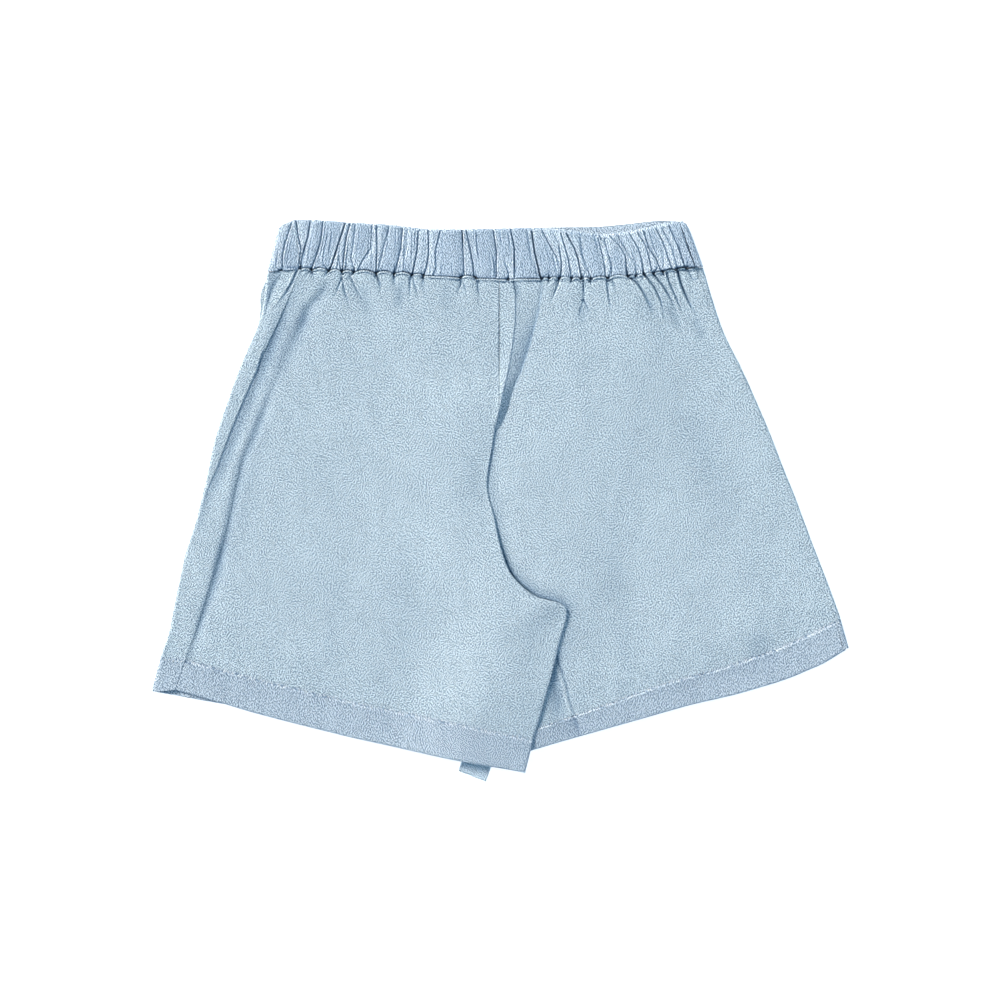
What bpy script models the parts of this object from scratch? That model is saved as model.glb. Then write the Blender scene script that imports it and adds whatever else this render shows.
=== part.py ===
"""Denim skort laid flat on a surface with its back up.

Units in the tables are millimetres. X runs across the garment, +Y runs from the hems to the
waistband, +Z is up from the surface. The plies lie on each other in this order from the surface:
tie, front flap, right front, right back, left front, left back.
"""

import math

import bmesh
import bpy
import numpy as np

MM = 0.001

# Cloth and the way it lies
CLOTH = 1.2                  # wall of one layer of denim
HEM_CLOTH = 2.0              # wall of a turned-up hem, two layers
LAYER = 2.4                  # height from one ply to the next
SEAM_GAP = 0.3               # space between two sewn pieces
FLAP_STEP = 45.0             # run over which the cloth comes down past the flap's edge
FLAP_MARGIN = 3.0            # cloth that stays level past the flap's edge
OVERLAP_STEP = 40.0          # run over which the left leg climbs onto the right leg
OVERLAP_MARGIN = 3.0         # level cloth before the right leg's hidden edge
BACK_LEAD = 10.0             # how much earlier the back ply climbs than the front ply under it
JOIN_RUN = 24.0              # run down which the left back lifts off the centre seam
CROTCH_RUN = 22.0            # run down which the left leg lifts at the crotch

# Waistband
BAND_FRONT_WALL = 2.4
BAND_FRONT_UNDERSIDE = 0.4
BAND_BACK_WALL = 3.0
BAND_BACK_TOP = 6.9          # mean height of the gathered back band
GATHER_HEIGHT = 0.7          # half the height of the band's gathers
GATHER_COUNT = 17
BAND_GAP = 0.5               # space between the band and the gathered panels
BAND_END_GAP = 1.2           # the space at the band's side folds and side seams

# Tie
TIE_WIDTH = 19.3
TIE_LIFT = 1.5               # how far the cloth over the tie stands up
TIE_MARGIN = 6.0
TIE_STEP = 40.0

# Mesh density
ROWS = 19                    # rows of a leg panel
BACK_COLUMNS = 18
FRONT_COLUMNS = 14
FOLD_STEPS = 3               # faces round a side fold
STRIP_COLUMNS = 2
HEM_ROWS = 2
FLAP_ROWS = 12
FLAP_COLUMNS = 24
BAND_ROWS = 2
BAND_BACK_COLUMNS = 4 * GATHER_COUNT
BAND_FRONT_COLUMNS = 24
TIE_ROWS = 24
TIE_COLUMNS = 2
EDGE_CROWDING = 1.3          # columns stand closer near the middle of the garment

# Columns of the two legs' tables, which have a row for each station from the waist down to the
# hem's stitching: outer fold, side seam on the back, inner edges of the back and front panels
STATION, OUTER, SEAM, BACK_INNER, FRONT_INNER = range(5)

LEFT_LEG = (
    ("waist",   (-151.4, 147.8), (-129.0, 149.4), (-0.8, 143.0), (-0.8, 143.0)),
    ("gather",  (-155.6, 118.3), (-142.3, 118.3), (-0.8, 113.0), (-0.8, 113.0)),
    ("hip",     (-167.1, 91.0), (-154.7, 91.0), (-0.8, 87.0), (-0.8, 87.0)),
    ("pleat",   (-176.8, 65.0), (-161.8, 65.0), (-0.8, 62.0), (-0.8, 62.0)),
    ("seat",    (-185.4, 39.0), (-165.8, 39.0), (-4.6, 36.0), (-10.3, 39.0)),
    ("turn",    (-191.1, 13.0), (-170.3, 13.0), (-8.2, 10.0), (-17.3, 13.0)),
    ("bend",    (-197.0, -11.1), (-176.2, -13.0), (-3.9, -10.0), (-16.3, -10.0)),
    ("sweep",   (-201.6, -26.0), (-180.1, -29.2), (0.4, -30.4), (-11.3, -31.0)),
    ("under",   (-204.9, -36.4), (-183.3, -40.3), (7.5, -48.6), (-4.8, -52.0)),
    ("rise",    (-206.6, -44.2), (-185.9, -48.1), (22.4, -62.4), (10.0, -67.5)),
    ("crotch",  (-208.4, -52.0), (-187.8, -54.6), (43.0, -71.0), (38.0, -76.5)),
    ("thigh",   (-211.9, -69.5), (-192.4, -70.2), (37.9, -96.0), (36.7, -98.0)),
    ("leg",     (-215.2, -85.8), (-197.6, -86.5), (30.3, -126.0), (29.1, -128.0)),
    ("stitch",  (-220.8, -102.0), (-204.1, -103.7), (21.8, -155.3), (20.6, -157.0)),
)

RIGHT_LEG = (
    ("waist",  (132.1, 150.8), (126.3, 151.3), (-0.5, 143.0), (-0.5, 143.0)),
    ("gather", (138.9, 128.1), (135.3, 128.1), (-0.5, 113.0), (-0.5, 113.0)),
    ("hip",    (146.2, 107.2), (142.5, 106.6), (-0.5, 87.0), (-0.5, 87.0)),
    ("pleat",  (157.2, 85.2), (153.6, 84.5), (-0.5, 62.0), (-0.5, 62.0)),
    ("seat",   (166.5, 64.4), (162.9, 63.7), (-10.0, 39.0), (-10.0, 39.0)),
    ("turn",   (175.7, 42.9), (172.1, 42.2), (-17.0, 13.0), (-17.0, 13.0)),
    ("bend",   (184.5, 20.2), (180.9, 19.5), (-16.0, -10.0), (-16.0, -10.0)),
    ("sweep",  (191.6, 2.6), (188.0, 2.0), (-11.0, -31.0), (-11.0, -31.0)),
    ("under",  (198.2, -15.0), (194.6, -15.6), (-2.0, -50.0), (-2.0, -50.0)),
    ("rise",   (203.2, -28.6), (199.6, -29.2), (13.0, -65.0), (13.0, -65.0)),
    ("crotch", (208.6, -42.4), (205.0, -43.0), (39.0, -75.0), (39.0, -75.0)),
    ("thigh",  (214.0, -56.4), (210.4, -57.0), (29.0, -97.0), (29.0, -97.0)),
    ("leg",    (218.3, -68.0), (214.7, -68.6), (12.5, -127.0), (12.5, -127.0)),
    ("stitch", (221.7, -78.1), (218.1, -78.7), (-1.0, -157.0), (-1.0, -157.0)),
)

# The hems' lower corners: outer fold, side seam, back's inner corner, front's inner corner
LEFT_HEM = ((-226.8, -124.6), (-210.9, -123.6), (16.3, -177.4), (15.2, -176.2))
RIGHT_HEM = ((226.8, -96.4), (223.2, -97.6), (-4.2, -170.5), (-4.2, -170.5))

# How far a row sags below its chord: share of the way from the middle out, depth
STRAIGHT = ((0.0, 0.0), (1.0, 0.0))
WAIST_SAG_RIGHT = ((0.0, 0.0), (0.25, 1.4), (0.5, 4.2), (0.7, 3.8), (0.87, 1.8), (1.0, 0.0))
STITCH_SAG_LEFT = ((0.0, 0.0), (0.25, 0.9), (0.5, 2.5), (0.75, 1.9), (1.0, 0.0))
HEM_SAG_LEFT = ((0.0, 0.0), (0.22, 3.0), (0.5, 4.2), (0.7, 3.6), (0.8, 2.9), (0.88, 1.5),
                (0.94, 0.8), (1.0, 0.0))
FRONT_HEM_SAG_LEFT = ((0.0, 0.0), (0.25, 1.2), (0.5, 0.8), (0.7, -1.0), (0.8, -1.9),
                      (0.87, -0.8), (0.94, -0.6), (1.0, 0.0))
STITCH_SAG_RIGHT = ((0.0, 0.0), (0.3, 0.6), (0.5, 0.2), (0.65, 3.4), (0.82, 4.0), (1.0, 0.0))
HEM_SAG_RIGHT = ((0.0, 0.0), (0.2, 1.2), (0.4, 2.9), (0.56, 4.1), (0.7, 7.1), (0.84, 7.7),
                 (0.91, 5.9), (0.955, 5.0), (1.0, 0.0))

# Upper edges of the waistband, from the left side fold to the right one
BAND_BACK_TOP_EDGE = ((-133.0, 181.9), (-118.0, 181.8), (-97.5, 180.1), (-68.2, 178.4),
                      (-45.5, 175.5), (-13.0, 175.8), (26.0, 176.8), (48.8, 174.8), (65.0, 171.6),
                      (78.0, 173.6), (94.2, 176.2), (107.0, 179.8), (115.7, 180.9))
BAND_FRONT_TOP_EDGE = ((-143.8, 178.0), (-130.0, 181.2), (-97.5, 178.6), (-45.5, 174.4),
                       (0.0, 175.0), (26.0, 177.1), (65.0, 177.5), (91.0, 180.1), (104.0, 182.1),
                       (121.5, 180.4))

# Front flap: left edge, free edge and hem
FLAP_LEFT = ((-150.5, 146.5), (-155.6, 134.0), (-156.8, 116.0), (-165.0, 86.0), (-183.0, 36.0),
             (-194.0, -13.0), (-205.0, -62.0), (-208.0, -73.0))
FLAP_FREE = ((78.0, 143.6), (93.0, 70.0), (124.0, -6.0), (156.0, -73.0))
FLAP_HEM = ((-208.0, -73.0), (-130.0, -97.5), (-52.0, -114.4), (0.0, -119.6), (52.0, -112.0),
            (117.0, -92.0), (156.0, -73.0))
FLAP_TOP_DEPTH = 4.6         # sag of the flap's sewn edge below its chord

# Centre line of the tie, from the flap's corner at the waist down to its square end
TIE_ROUTE = ((66.0, 138.0), (57.2, 65.0), (39.0, -13.0), (13.0, -97.5), (-17.9, -179.1))

# Large soft folds of the back plies: name, upper end, lower end, half width, height
FOLDS = (
    ("crotch fold",       (6.5, 138.0), (3.5, 58.0), 9.0, 2.6),
    ("gather left 1",     (-128.0, 141.0), (-141.0, 104.0), 9.0, 2.4),
    ("gather left 2",     (-104.0, 142.0), (-98.0, 122.0), 9.0, 1.8),
    ("gather left 3",     (-84.0, 140.0), (-80.0, 116.0), 9.0, 1.7),
    ("gather left 4",     (-56.0, 138.0), (-55.0, 116.0), 10.0, 1.8),
    ("gather left 5",     (-26.0, 138.0), (-24.0, 112.0), 9.0, 1.6),
    ("gather right 1",    (44.0, 140.0), (44.0, 118.0), 9.0, 1.6),
    ("gather right 2",    (64.0, 141.0), (68.0, 116.0), 9.0, 1.9),
    ("gather right 3",    (88.0, 143.0), (100.0, 122.0), 9.0, 1.9),
    ("gather right 4",    (112.0, 145.0), (124.0, 116.0), 9.0, 2.2),
    ("side fold",         (-150.0, 78.0), (-163.0, 28.0), 9.0, 1.6),
)

# Cloth colours in linear light, roughness
DENIM = ((0.46, 0.60, 0.71), 0.9)
BAND_DENIM = ((0.41, 0.54, 0.66), 0.9)
HEM_DENIM = ((0.42, 0.56, 0.68), 0.9)
TIE_DENIM = ((0.40, 0.52, 0.62), 0.9)


def clear_scene():
    """Empty the file, so that the model is the same in any starting scene."""
    for item in list(bpy.data.objects):
        bpy.data.objects.remove(item, do_unlink=True)


def make_collection(name):
    """A new collection under the scene's own."""
    collection = bpy.data.collections.new(name)
    bpy.context.scene.collection.children.link(collection)
    return collection


def make_material(name, finish):
    """A plain cloth material."""
    colour, roughness = finish
    material = bpy.data.materials.new(name)
    material.use_nodes = True
    shader = material.node_tree.nodes["Principled BSDF"]
    shader.inputs["Base Color"].default_value = (*colour, 1.0)
    shader.inputs["Roughness"].default_value = roughness
    shader.inputs["Metallic"].default_value = 0.0
    return material


def ease(start, end, value):
    """A soft step from 0 at start to 1 at end."""
    share = min(max((value - start) / (end - start), 0.0), 1.0)
    return share * share * (3.0 - 2.0 * share)


def smooth_point(points, share):
    """The point at a share of a smooth curve through a short table of points."""
    table = np.array(points, dtype=float)
    place = min(max(share, 0.0), 1.0) * (len(table) - 1)
    index = min(int(place), len(table) - 2)
    along = place - index
    near = table[index]
    far = table[index + 1]
    before = table[index - 1] if index > 0 else 2.0 * near - far
    after = table[index + 2] if index + 2 < len(table) else 2.0 * far - near
    start_slope = 0.5 * (far - before)
    end_slope = 0.5 * (after - near)
    square = along * along
    cube = square * along
    return ((2.0 * cube - 3.0 * square + 1.0) * near + (cube - 2.0 * square + along) * start_slope
            + (3.0 * square - 2.0 * cube) * far + (cube - square) * end_slope)


def table_value(table, place):
    """A value read between the rows of a two-column table."""
    return float(np.interp(place, [row[0] for row in table], [row[1] for row in table]))


def column(stations, index):
    """One column of a leg's table."""
    return [row[index] for row in stations]


def inner_y(stations, name):
    """Y of the back panel's inner edge at a named station."""
    for row in stations:
        if row[STATION] == name:
            return row[BACK_INNER][1]
    raise KeyError(name)


def line_of(points, count=60):
    """A smooth curve as an array of close points."""
    return np.array([smooth_point(points, step / count) for step in range(count + 1)])


RIGHT_INNER_LINE = line_of(column(RIGHT_LEG, BACK_INNER) + [RIGHT_HEM[2]])
TIE_LINE = line_of(TIE_ROUTE)
FLAP_HEM_LINE = line_of(FLAP_HEM)
FLAP_FREE_LINE = line_of(FLAP_FREE)
CROTCH_Y = inner_y(RIGHT_LEG, "crotch")
JOIN_Y = inner_y(RIGHT_LEG, "pleat")     # where the two backs stop lying side by side


def hidden_edge(y):
    """X of the right leg's inner edge, under the left leg, at a height on the garment."""
    line = RIGHT_INNER_LINE[::-1]
    return float(np.interp(y, line[:, 1], line[:, 0]))


def over_tie(x, y):
    """How high the cloth stands over the tie."""
    distance = float(np.min(np.hypot(TIE_LINE[:, 0] - x, TIE_LINE[:, 1] - y)))
    level_edge = TIE_WIDTH / 2.0 + TIE_MARGIN
    return TIE_LIFT * (1.0 - ease(level_edge, level_edge + TIE_STEP, distance))


def over_flap(x, y):
    """How high the shorts stand over the front flap."""
    hem_y = float(np.interp(x, FLAP_HEM_LINE[:, 0], FLAP_HEM_LINE[:, 1]))
    free_x = float(np.interp(-y, -FLAP_FREE_LINE[:, 1], FLAP_FREE_LINE[:, 0]))
    above_hem = ease(hem_y - FLAP_MARGIN - FLAP_STEP, hem_y - FLAP_MARGIN, y)
    past_edge = ease(free_x + FLAP_MARGIN, free_x + FLAP_MARGIN + FLAP_STEP, x)
    return LAYER * above_hem * (1.0 - past_edge)


def shorts_floor(x, y):
    """Height of the lowest ply of the shorts."""
    return over_tie(x, y) + over_flap(x, y)


def climb(x, y, lead=0.0):
    """Share of the climb onto the right leg, across the garment."""
    edge = hidden_edge(y) - OVERLAP_MARGIN - lead
    return ease(edge - OVERLAP_STEP, edge, x)


def past_join(y):
    """0 where the backs lie side by side, 1 where the left back lies over the right one."""
    return 1.0 - ease(JOIN_Y, JOIN_Y + JOIN_RUN, y)


def past_crotch(y, lead=0.0):
    """0 in the seat, 1 in the legs, where both left plies lie over both right plies."""
    full = CROTCH_Y + 1.0 + lead
    return 1.0 - ease(full, full + CROTCH_RUN, y)


def fold_height(x, y):
    """Height that the large soft folds add to a back ply."""
    total = 0.0
    for _name, upper, lower, half_width, height in FOLDS:
        run = np.subtract(lower, upper)
        away = np.array((x, y)) - upper
        along = float(np.dot(away, run) / np.dot(run, run))
        side = abs(float(run[0] * away[1] - run[1] * away[0])) / float(np.hypot(*run))
        across = 1.0 - ease(0.0, half_width, side)
        ends = ease(-0.15, 0.1, along) * (1.0 - ease(0.3, 1.1, along))
        total += height * across * ends
    return total


def front_right_height(x, y):
    """Underside of the right front."""
    return shorts_floor(x, y)


def back_right_height(x, y):
    """Top of the right back."""
    return shorts_floor(x, y) + LAYER + CLOTH + fold_height(x, y)


def front_left_height(x, y):
    """Underside of the left front, which climbs onto the right leg below the crotch."""
    return shorts_floor(x, y) + 2.0 * LAYER * climb(x, y) * past_crotch(y)


def back_left_height(x, y):
    """Top of the left back, which climbs onto the right back below the centre seam."""
    lift = LAYER * climb(x, y, BACK_LEAD) * (past_join(y) + past_crotch(y, BACK_LEAD))
    return shorts_floor(x, y) + LAYER + CLOTH + lift + fold_height(x, y)


def cloth_object(name, rows, wall, material, collection):
    """A wall of cloth from a grid of points on its outer side."""
    mesh = bpy.data.meshes.new(name)
    shape = bmesh.new()
    grid = []
    for row in rows:
        grid.append([shape.verts.new([value * MM for value in point]) for point in row])
    for upper, lower in zip(grid, grid[1:]):
        for index in range(len(upper) - 1):
            shape.faces.new((upper[index], lower[index], lower[index + 1], upper[index + 1]))
    shape.to_mesh(mesh)
    shape.free()
    mesh.materials.append(material)
    mesh.shade_smooth()
    piece = bpy.data.objects.new(name, mesh)
    collection.objects.link(piece)
    solid = piece.modifiers.new("cloth wall", "SOLIDIFY")
    solid.thickness = wall * MM
    solid.offset = -1.0
    solid.use_even_offset = True
    return piece


def steps(count):
    """Even shares from 0 to 1."""
    return [index / count for index in range(count + 1)]


def crowded(share):
    """A share that moves slowly near 0, where the middle of the garment is."""
    return share ** EDGE_CROWDING


def sagging_row(inner, outer, sag, shares):
    """Points of a row from its inner end to its outer end, hung below the chord."""
    inner = np.array(inner, dtype=float)
    outer = np.array(outer, dtype=float)
    points = []
    for share in shares:
        point = inner + (outer - inner) * share
        points.append((point[0], point[1] - sag(share)))
    return points


def leg_sag(waist_table, stitch_table, down):
    """Sag of a leg's row, a share of the way down from the waist to the stitching."""
    def sag(share):
        at_waist = table_value(waist_table, share) * (1.0 - down) ** 2
        at_stitch = table_value(stitch_table, share) * down ** 3
        return at_waist + at_stitch
    return sag


def hem_sag(stitch_table, hem_table, down):
    """Sag of a hem's row, a share of the way down from the stitching to its lower edge."""
    def sag(share):
        at_stitch = table_value(stitch_table, share) * (1.0 - down)
        return at_stitch + table_value(hem_table, share) * down
    return sag


def flat_ply_row(inner, outer, sag, height):
    """A row of a back ply, from its inner edge to its side seam."""
    shares = [crowded(share) for share in steps(BACK_COLUMNS)]
    return [(x, y, height(x, y)) for x, y in sagging_row(inner, outer, sag, shares)]


def wrapped_ply_row(inner, outer, seam, sag, height, full_height):
    """A row of a front ply: out along the underside, round the side fold, in to the seam."""
    inner = np.array(inner, dtype=float)
    outer = np.array(outer, dtype=float)
    seam = np.array(seam, dtype=float)
    radius = full_height / 2.0
    outward = (outer - inner) / np.hypot(*(outer - inner))
    turn = outer - outward * radius
    shares = [crowded(share) for share in steps(FRONT_COLUMNS)]
    row = [(x, y, height(x, y)) for x, y in sagging_row(inner, turn, sag, shares)]
    side_height = height(*turn)
    for step in range(1, FOLD_STEPS + 1):
        angle = math.pi * step / FOLD_STEPS
        point = turn + outward * radius * math.sin(angle)
        row.append((*point, side_height + radius * (1.0 - math.cos(angle))))
    end = seam + outward * SEAM_GAP
    for step in range(1, STRIP_COLUMNS + 1):
        point = turn + (end - turn) * step / STRIP_COLUMNS
        row.append((*point, height(*point) + full_height))
    return row


def toward_left(rows):
    """Turn rows that run inward to outward on the left, so that their tops face up."""
    return [row[::-1] for row in rows]


def leg_panels(side, stations, sags, heights, material, collection):
    """The back and the front panel of one leg."""
    back_height, front_height = heights
    back_rows = []
    front_rows = []
    for down in steps(ROWS):
        sag = leg_sag(*sags, down)
        outer, seam, back_inner, front_inner = (smooth_point(column(stations, index), down)
                                                for index in (OUTER, SEAM, BACK_INNER, FRONT_INNER))
        back_rows.append(flat_ply_row(back_inner, seam, sag, back_height))
        front_rows.append(wrapped_ply_row(front_inner, outer, seam, sag, front_height,
                                          LAYER + CLOTH))
    place_pair(side, back_rows, front_rows, ("back_", "front_"), CLOTH, material, collection)


def leg_hems(side, stations, corners, sags, heights, material, collection):
    """The turned-up hems of one leg, back and front."""
    stitch_table, back_table, front_table = sags
    back_height, front_height = heights
    top_points = [np.array(point) - (0.0, SEAM_GAP) for point in stations[-1][OUTER:]]
    back_rows = []
    front_rows = []
    for down in steps(HEM_ROWS):
        back_sag, front_sag = (hem_sag(stitch_table, table, down)
                               for table in (back_table, front_table))
        outer, seam, back_inner, front_inner = (top * (1.0 - down) + np.array(corner) * down
                                                for top, corner in zip(top_points, corners))
        back_rows.append(flat_ply_row(back_inner, seam, back_sag, hem_height(back_height)))
        front_rows.append(wrapped_ply_row(front_inner, outer, seam, front_sag, front_height,
                                          LAYER + HEM_CLOTH))
    place_pair(side, back_rows, front_rows, ("hem_back_", "hem_front_"), HEM_CLOTH, material,
               collection)


def place_pair(side, back_rows, front_rows, prefixes, wall, material, collection):
    """Make a back piece and a front piece, facing out on either side of the garment."""
    if side == "left":
        back_rows = toward_left(back_rows)
    else:
        front_rows = toward_left(front_rows)
    cloth_object(prefixes[0] + side, back_rows, wall, material, collection)
    cloth_object(prefixes[1] + side, front_rows, wall, material, collection)


def hem_height(ply_height):
    """Top of a back hem, which lies over a front hem of the same wall."""
    def height(x, y):
        return ply_height(x, y) - CLOTH + HEM_CLOTH
    return height


def front_flap(material, collection):
    """The skirt panel on the front, the lowest ply, with its flat underside on the surface."""
    rows = []
    for down in steps(FLAP_ROWS):
        left = smooth_point(FLAP_LEFT, down)
        free = smooth_point(FLAP_FREE, down)
        row = []
        for across in steps(FLAP_COLUMNS):
            hem_x, hem_y = smooth_point(FLAP_HEM, across)
            hem_chord = np.array(FLAP_LEFT[-1]) * (1.0 - across) + np.array(FLAP_FREE[-1]) * across
            hem_pull = (np.array((hem_x, hem_y)) - hem_chord) * down ** 2
            waist_sag = FLAP_TOP_DEPTH * 4.0 * across * (1.0 - across) * (1.0 - down) ** 2
            x, y = left * (1.0 - across) + free * across + hem_pull - np.array((0.0, waist_sag))
            row.append((x, y, over_tie(x, y)))
        rows.append(row)
    cloth_object("front_flap", toward_left(rows), CLOTH, material, collection)


def tie(material, collection):
    """The narrow sash, a flat ribbon on the surface."""
    rows = []
    for down in steps(TIE_ROWS):
        centre = smooth_point(TIE_ROUTE, down)
        ahead = smooth_point(TIE_ROUTE, down + 0.01) - smooth_point(TIE_ROUTE, down - 0.01)
        across = np.array((-ahead[1], ahead[0])) / np.hypot(*ahead)
        row = []
        for step in steps(TIE_COLUMNS):
            x, y = centre + across * TIE_WIDTH * (step - 0.5)
            row.append((x, y, CLOTH))
        rows.append(row)
    cloth_object("tie", rows, CLOTH, material, collection)


def panel_top_edges():
    """The sewn top edges of the two backs as one line, from the left seam to the right one."""
    shares = [crowded(share) for share in steps(BACK_COLUMNS)]
    left_sag = leg_sag(STRAIGHT, STITCH_SAG_LEFT, 0.0)
    right_sag = leg_sag(WAIST_SAG_RIGHT, STITCH_SAG_RIGHT, 0.0)
    left = sagging_row(LEFT_LEG[0][BACK_INNER], LEFT_LEG[0][SEAM], left_sag, shares)
    right = sagging_row(RIGHT_LEG[0][BACK_INNER], RIGHT_LEG[0][SEAM], right_sag, shares)
    return left[::-1] + right


def band_point(top_edge, lower_edge, across, down):
    """A point of a band, a share of the way across it and down it."""
    top_x = top_edge[0][0] + (top_edge[-1][0] - top_edge[0][0]) * across
    lower_x = lower_edge[0][0] + (lower_edge[-1][0] - lower_edge[0][0]) * across
    top_y = table_value(top_edge, top_x)
    lower_y = table_value(lower_edge, lower_x) + BAND_GAP
    return top_x + (lower_x - top_x) * down, top_y + (lower_y - top_y) * down


def waistband_back(material, collection):
    """The gathered back band, with its gathers as soft waves across it."""
    lower_edge = panel_top_edges()
    rows = []
    for down in steps(BAND_ROWS):
        row = []
        for across in steps(BAND_BACK_COLUMNS):
            x, y = band_point(BAND_BACK_TOP_EDGE, lower_edge, across, down)
            wave = math.cos(2.0 * math.pi * GATHER_COUNT * across)
            row.append((x, y, BAND_BACK_TOP + GATHER_HEIGHT * wave))
        rows.append(row)
    cloth_object("waistband_back", rows, BAND_BACK_WALL, material, collection)


def waistband_front(material, collection):
    """The plain front band, turned up at both sides to meet the back band."""
    full = BAND_BACK_TOP - BAND_FRONT_UNDERSIDE + GATHER_HEIGHT
    radius = full / 2.0
    back_lower = panel_top_edges()
    lower_left = np.array(LEFT_LEG[0][OUTER]) + (radius, BAND_END_GAP - BAND_GAP)
    lower_right = np.array(RIGHT_LEG[0][OUTER]) + (-radius, BAND_END_GAP)
    lower_edge = [tuple(lower_left)] + back_lower[2:-2] + [tuple(lower_right)]
    top_left = np.array(BAND_FRONT_TOP_EDGE[0]) + (radius, 0.0)
    top_right = np.array(BAND_FRONT_TOP_EDGE[-1]) - (radius, 0.0)
    top_edge = [tuple(top_left)] + list(BAND_FRONT_TOP_EDGE[1:-1]) + [tuple(top_right)]
    rows = []
    for down in steps(BAND_ROWS):
        flat = []
        for across in steps(BAND_FRONT_COLUMNS):
            x, y = band_point(top_edge, lower_edge, across, down)
            flat.append((x, y, BAND_FRONT_UNDERSIDE))
        left_end = band_point(BAND_BACK_TOP_EDGE, back_lower, 0.0, down)
        right_end = band_point(BAND_BACK_TOP_EDGE, back_lower, 1.0, down)
        left_turn = side_turn(flat[0], left_end, -1.0, radius, full)
        right_turn = side_turn(flat[-1], right_end, 1.0, radius, full)
        rows.append(left_turn[::-1] + flat + right_turn)
    cloth_object("waistband_front", toward_left(rows), BAND_FRONT_WALL, material, collection)


def side_turn(centre, meeting, direction, radius, full):
    """The end of the front band, round the side and in to the back band's end."""
    points = []
    for step in range(1, FOLD_STEPS + 1):
        angle = math.pi * step / FOLD_STEPS
        x = centre[0] + direction * radius * math.sin(angle)
        points.append((x, centre[1], BAND_FRONT_UNDERSIDE + radius * (1.0 - math.cos(angle))))
    end = meeting[0] + direction * BAND_END_GAP
    points.append((end, meeting[1], BAND_FRONT_UNDERSIDE + full))
    return points


def build():
    """Make every piece of the skort."""
    clear_scene()
    collection = make_collection("denim_skort")
    denim = make_material("denim", DENIM)
    band_denim = make_material("waistband_denim", BAND_DENIM)
    hem_denim = make_material("hem_denim", HEM_DENIM)
    tie_denim = make_material("tie_denim", TIE_DENIM)

    left_heights = (back_left_height, front_left_height)
    right_heights = (back_right_height, front_right_height)
    leg_panels("left", LEFT_LEG, (STRAIGHT, STITCH_SAG_LEFT), left_heights, denim, collection)
    leg_panels("right", RIGHT_LEG, (WAIST_SAG_RIGHT, STITCH_SAG_RIGHT), right_heights, denim,
               collection)
    leg_hems("left", LEFT_LEG, LEFT_HEM, (STITCH_SAG_LEFT, HEM_SAG_LEFT, FRONT_HEM_SAG_LEFT),
             left_heights, hem_denim, collection)
    leg_hems("right", RIGHT_LEG, RIGHT_HEM, (STITCH_SAG_RIGHT, HEM_SAG_RIGHT, HEM_SAG_RIGHT),
             right_heights, hem_denim, collection)
    front_flap(denim, collection)
    tie(tie_denim, collection)
    waistband_front(band_denim, collection)
    waistband_back(band_denim, collection)


build()
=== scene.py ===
"""Looks of a child's light-blue denim skort that lies flat with its back up.

Lengths in the tables are millimetres in the garment's own frame: +X across, +Y from the hems to
the waistband, +Z up from the surface. Each piece is a thin shell of cloth on its solid's form.
"""

import math

import bpy
import numpy as np
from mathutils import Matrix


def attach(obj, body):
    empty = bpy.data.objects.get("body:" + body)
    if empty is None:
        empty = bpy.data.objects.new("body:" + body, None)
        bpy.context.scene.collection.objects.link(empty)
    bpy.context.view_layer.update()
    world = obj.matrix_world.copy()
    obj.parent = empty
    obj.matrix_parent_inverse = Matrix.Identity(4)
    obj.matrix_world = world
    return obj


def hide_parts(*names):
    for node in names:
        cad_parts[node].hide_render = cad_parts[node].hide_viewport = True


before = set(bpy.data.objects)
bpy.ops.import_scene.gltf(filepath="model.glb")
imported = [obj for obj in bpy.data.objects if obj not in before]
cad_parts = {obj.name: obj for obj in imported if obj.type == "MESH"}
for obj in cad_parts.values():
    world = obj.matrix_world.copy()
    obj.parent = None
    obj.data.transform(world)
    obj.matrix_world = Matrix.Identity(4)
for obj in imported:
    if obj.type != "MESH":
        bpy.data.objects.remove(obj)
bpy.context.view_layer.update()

MM = 0.001
FAR = 1.0e6                  # further than anything on the garment, in millimetres

# ---------------------------------------------------------------- cut and lay of the cloth

CLOTH = 1.2                  # wall of one layer, as the solids have it
HEM_CLOTH = 2.0              # wall of a turned-up hem
SHELL = 0.8                  # wall of the visible cloth
HEM_SHELL = 1.4
LAYER = 2.4                  # height from one ply to the next
SEAM_GAP = 0.1
FLAP_STEP = 45.0
FLAP_MARGIN = 3.0
OVERLAP_STEP = 40.0
OVERLAP_MARGIN = 3.0
BACK_LEAD = 10.0
JOIN_RUN = 24.0
CROTCH_RUN = 22.0
TOP_CROTCH_RUN = 72.0        # the top ply drapes softly over the ply that climbs under it
TOP_CLIMB_SOFTNESS = 18.0
TOP_CLIMB_STEP = 72.0
CROTCH_Y = -75.0
JOIN_Y = 62.0

CROTCH_MARGIN = 1.0          # from the crotch to where the legs have fully climbed
SEAT_FOLD = (44.0, 66.0)     # the left back's edge is folded below these heights, stitched above
LEG_FOLD = (-90.0, -70.0)    # and rolls more in the leg, below these
JOIN_GAP = 0.3               # from the centre line to the right back's edge, above JOIN_Y
LEFT_SEAM_SHIFT = 0.2        # of the left back's edge towards that seam
LEFT_SEAM_RUN = (50.0, 62.0)

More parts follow.
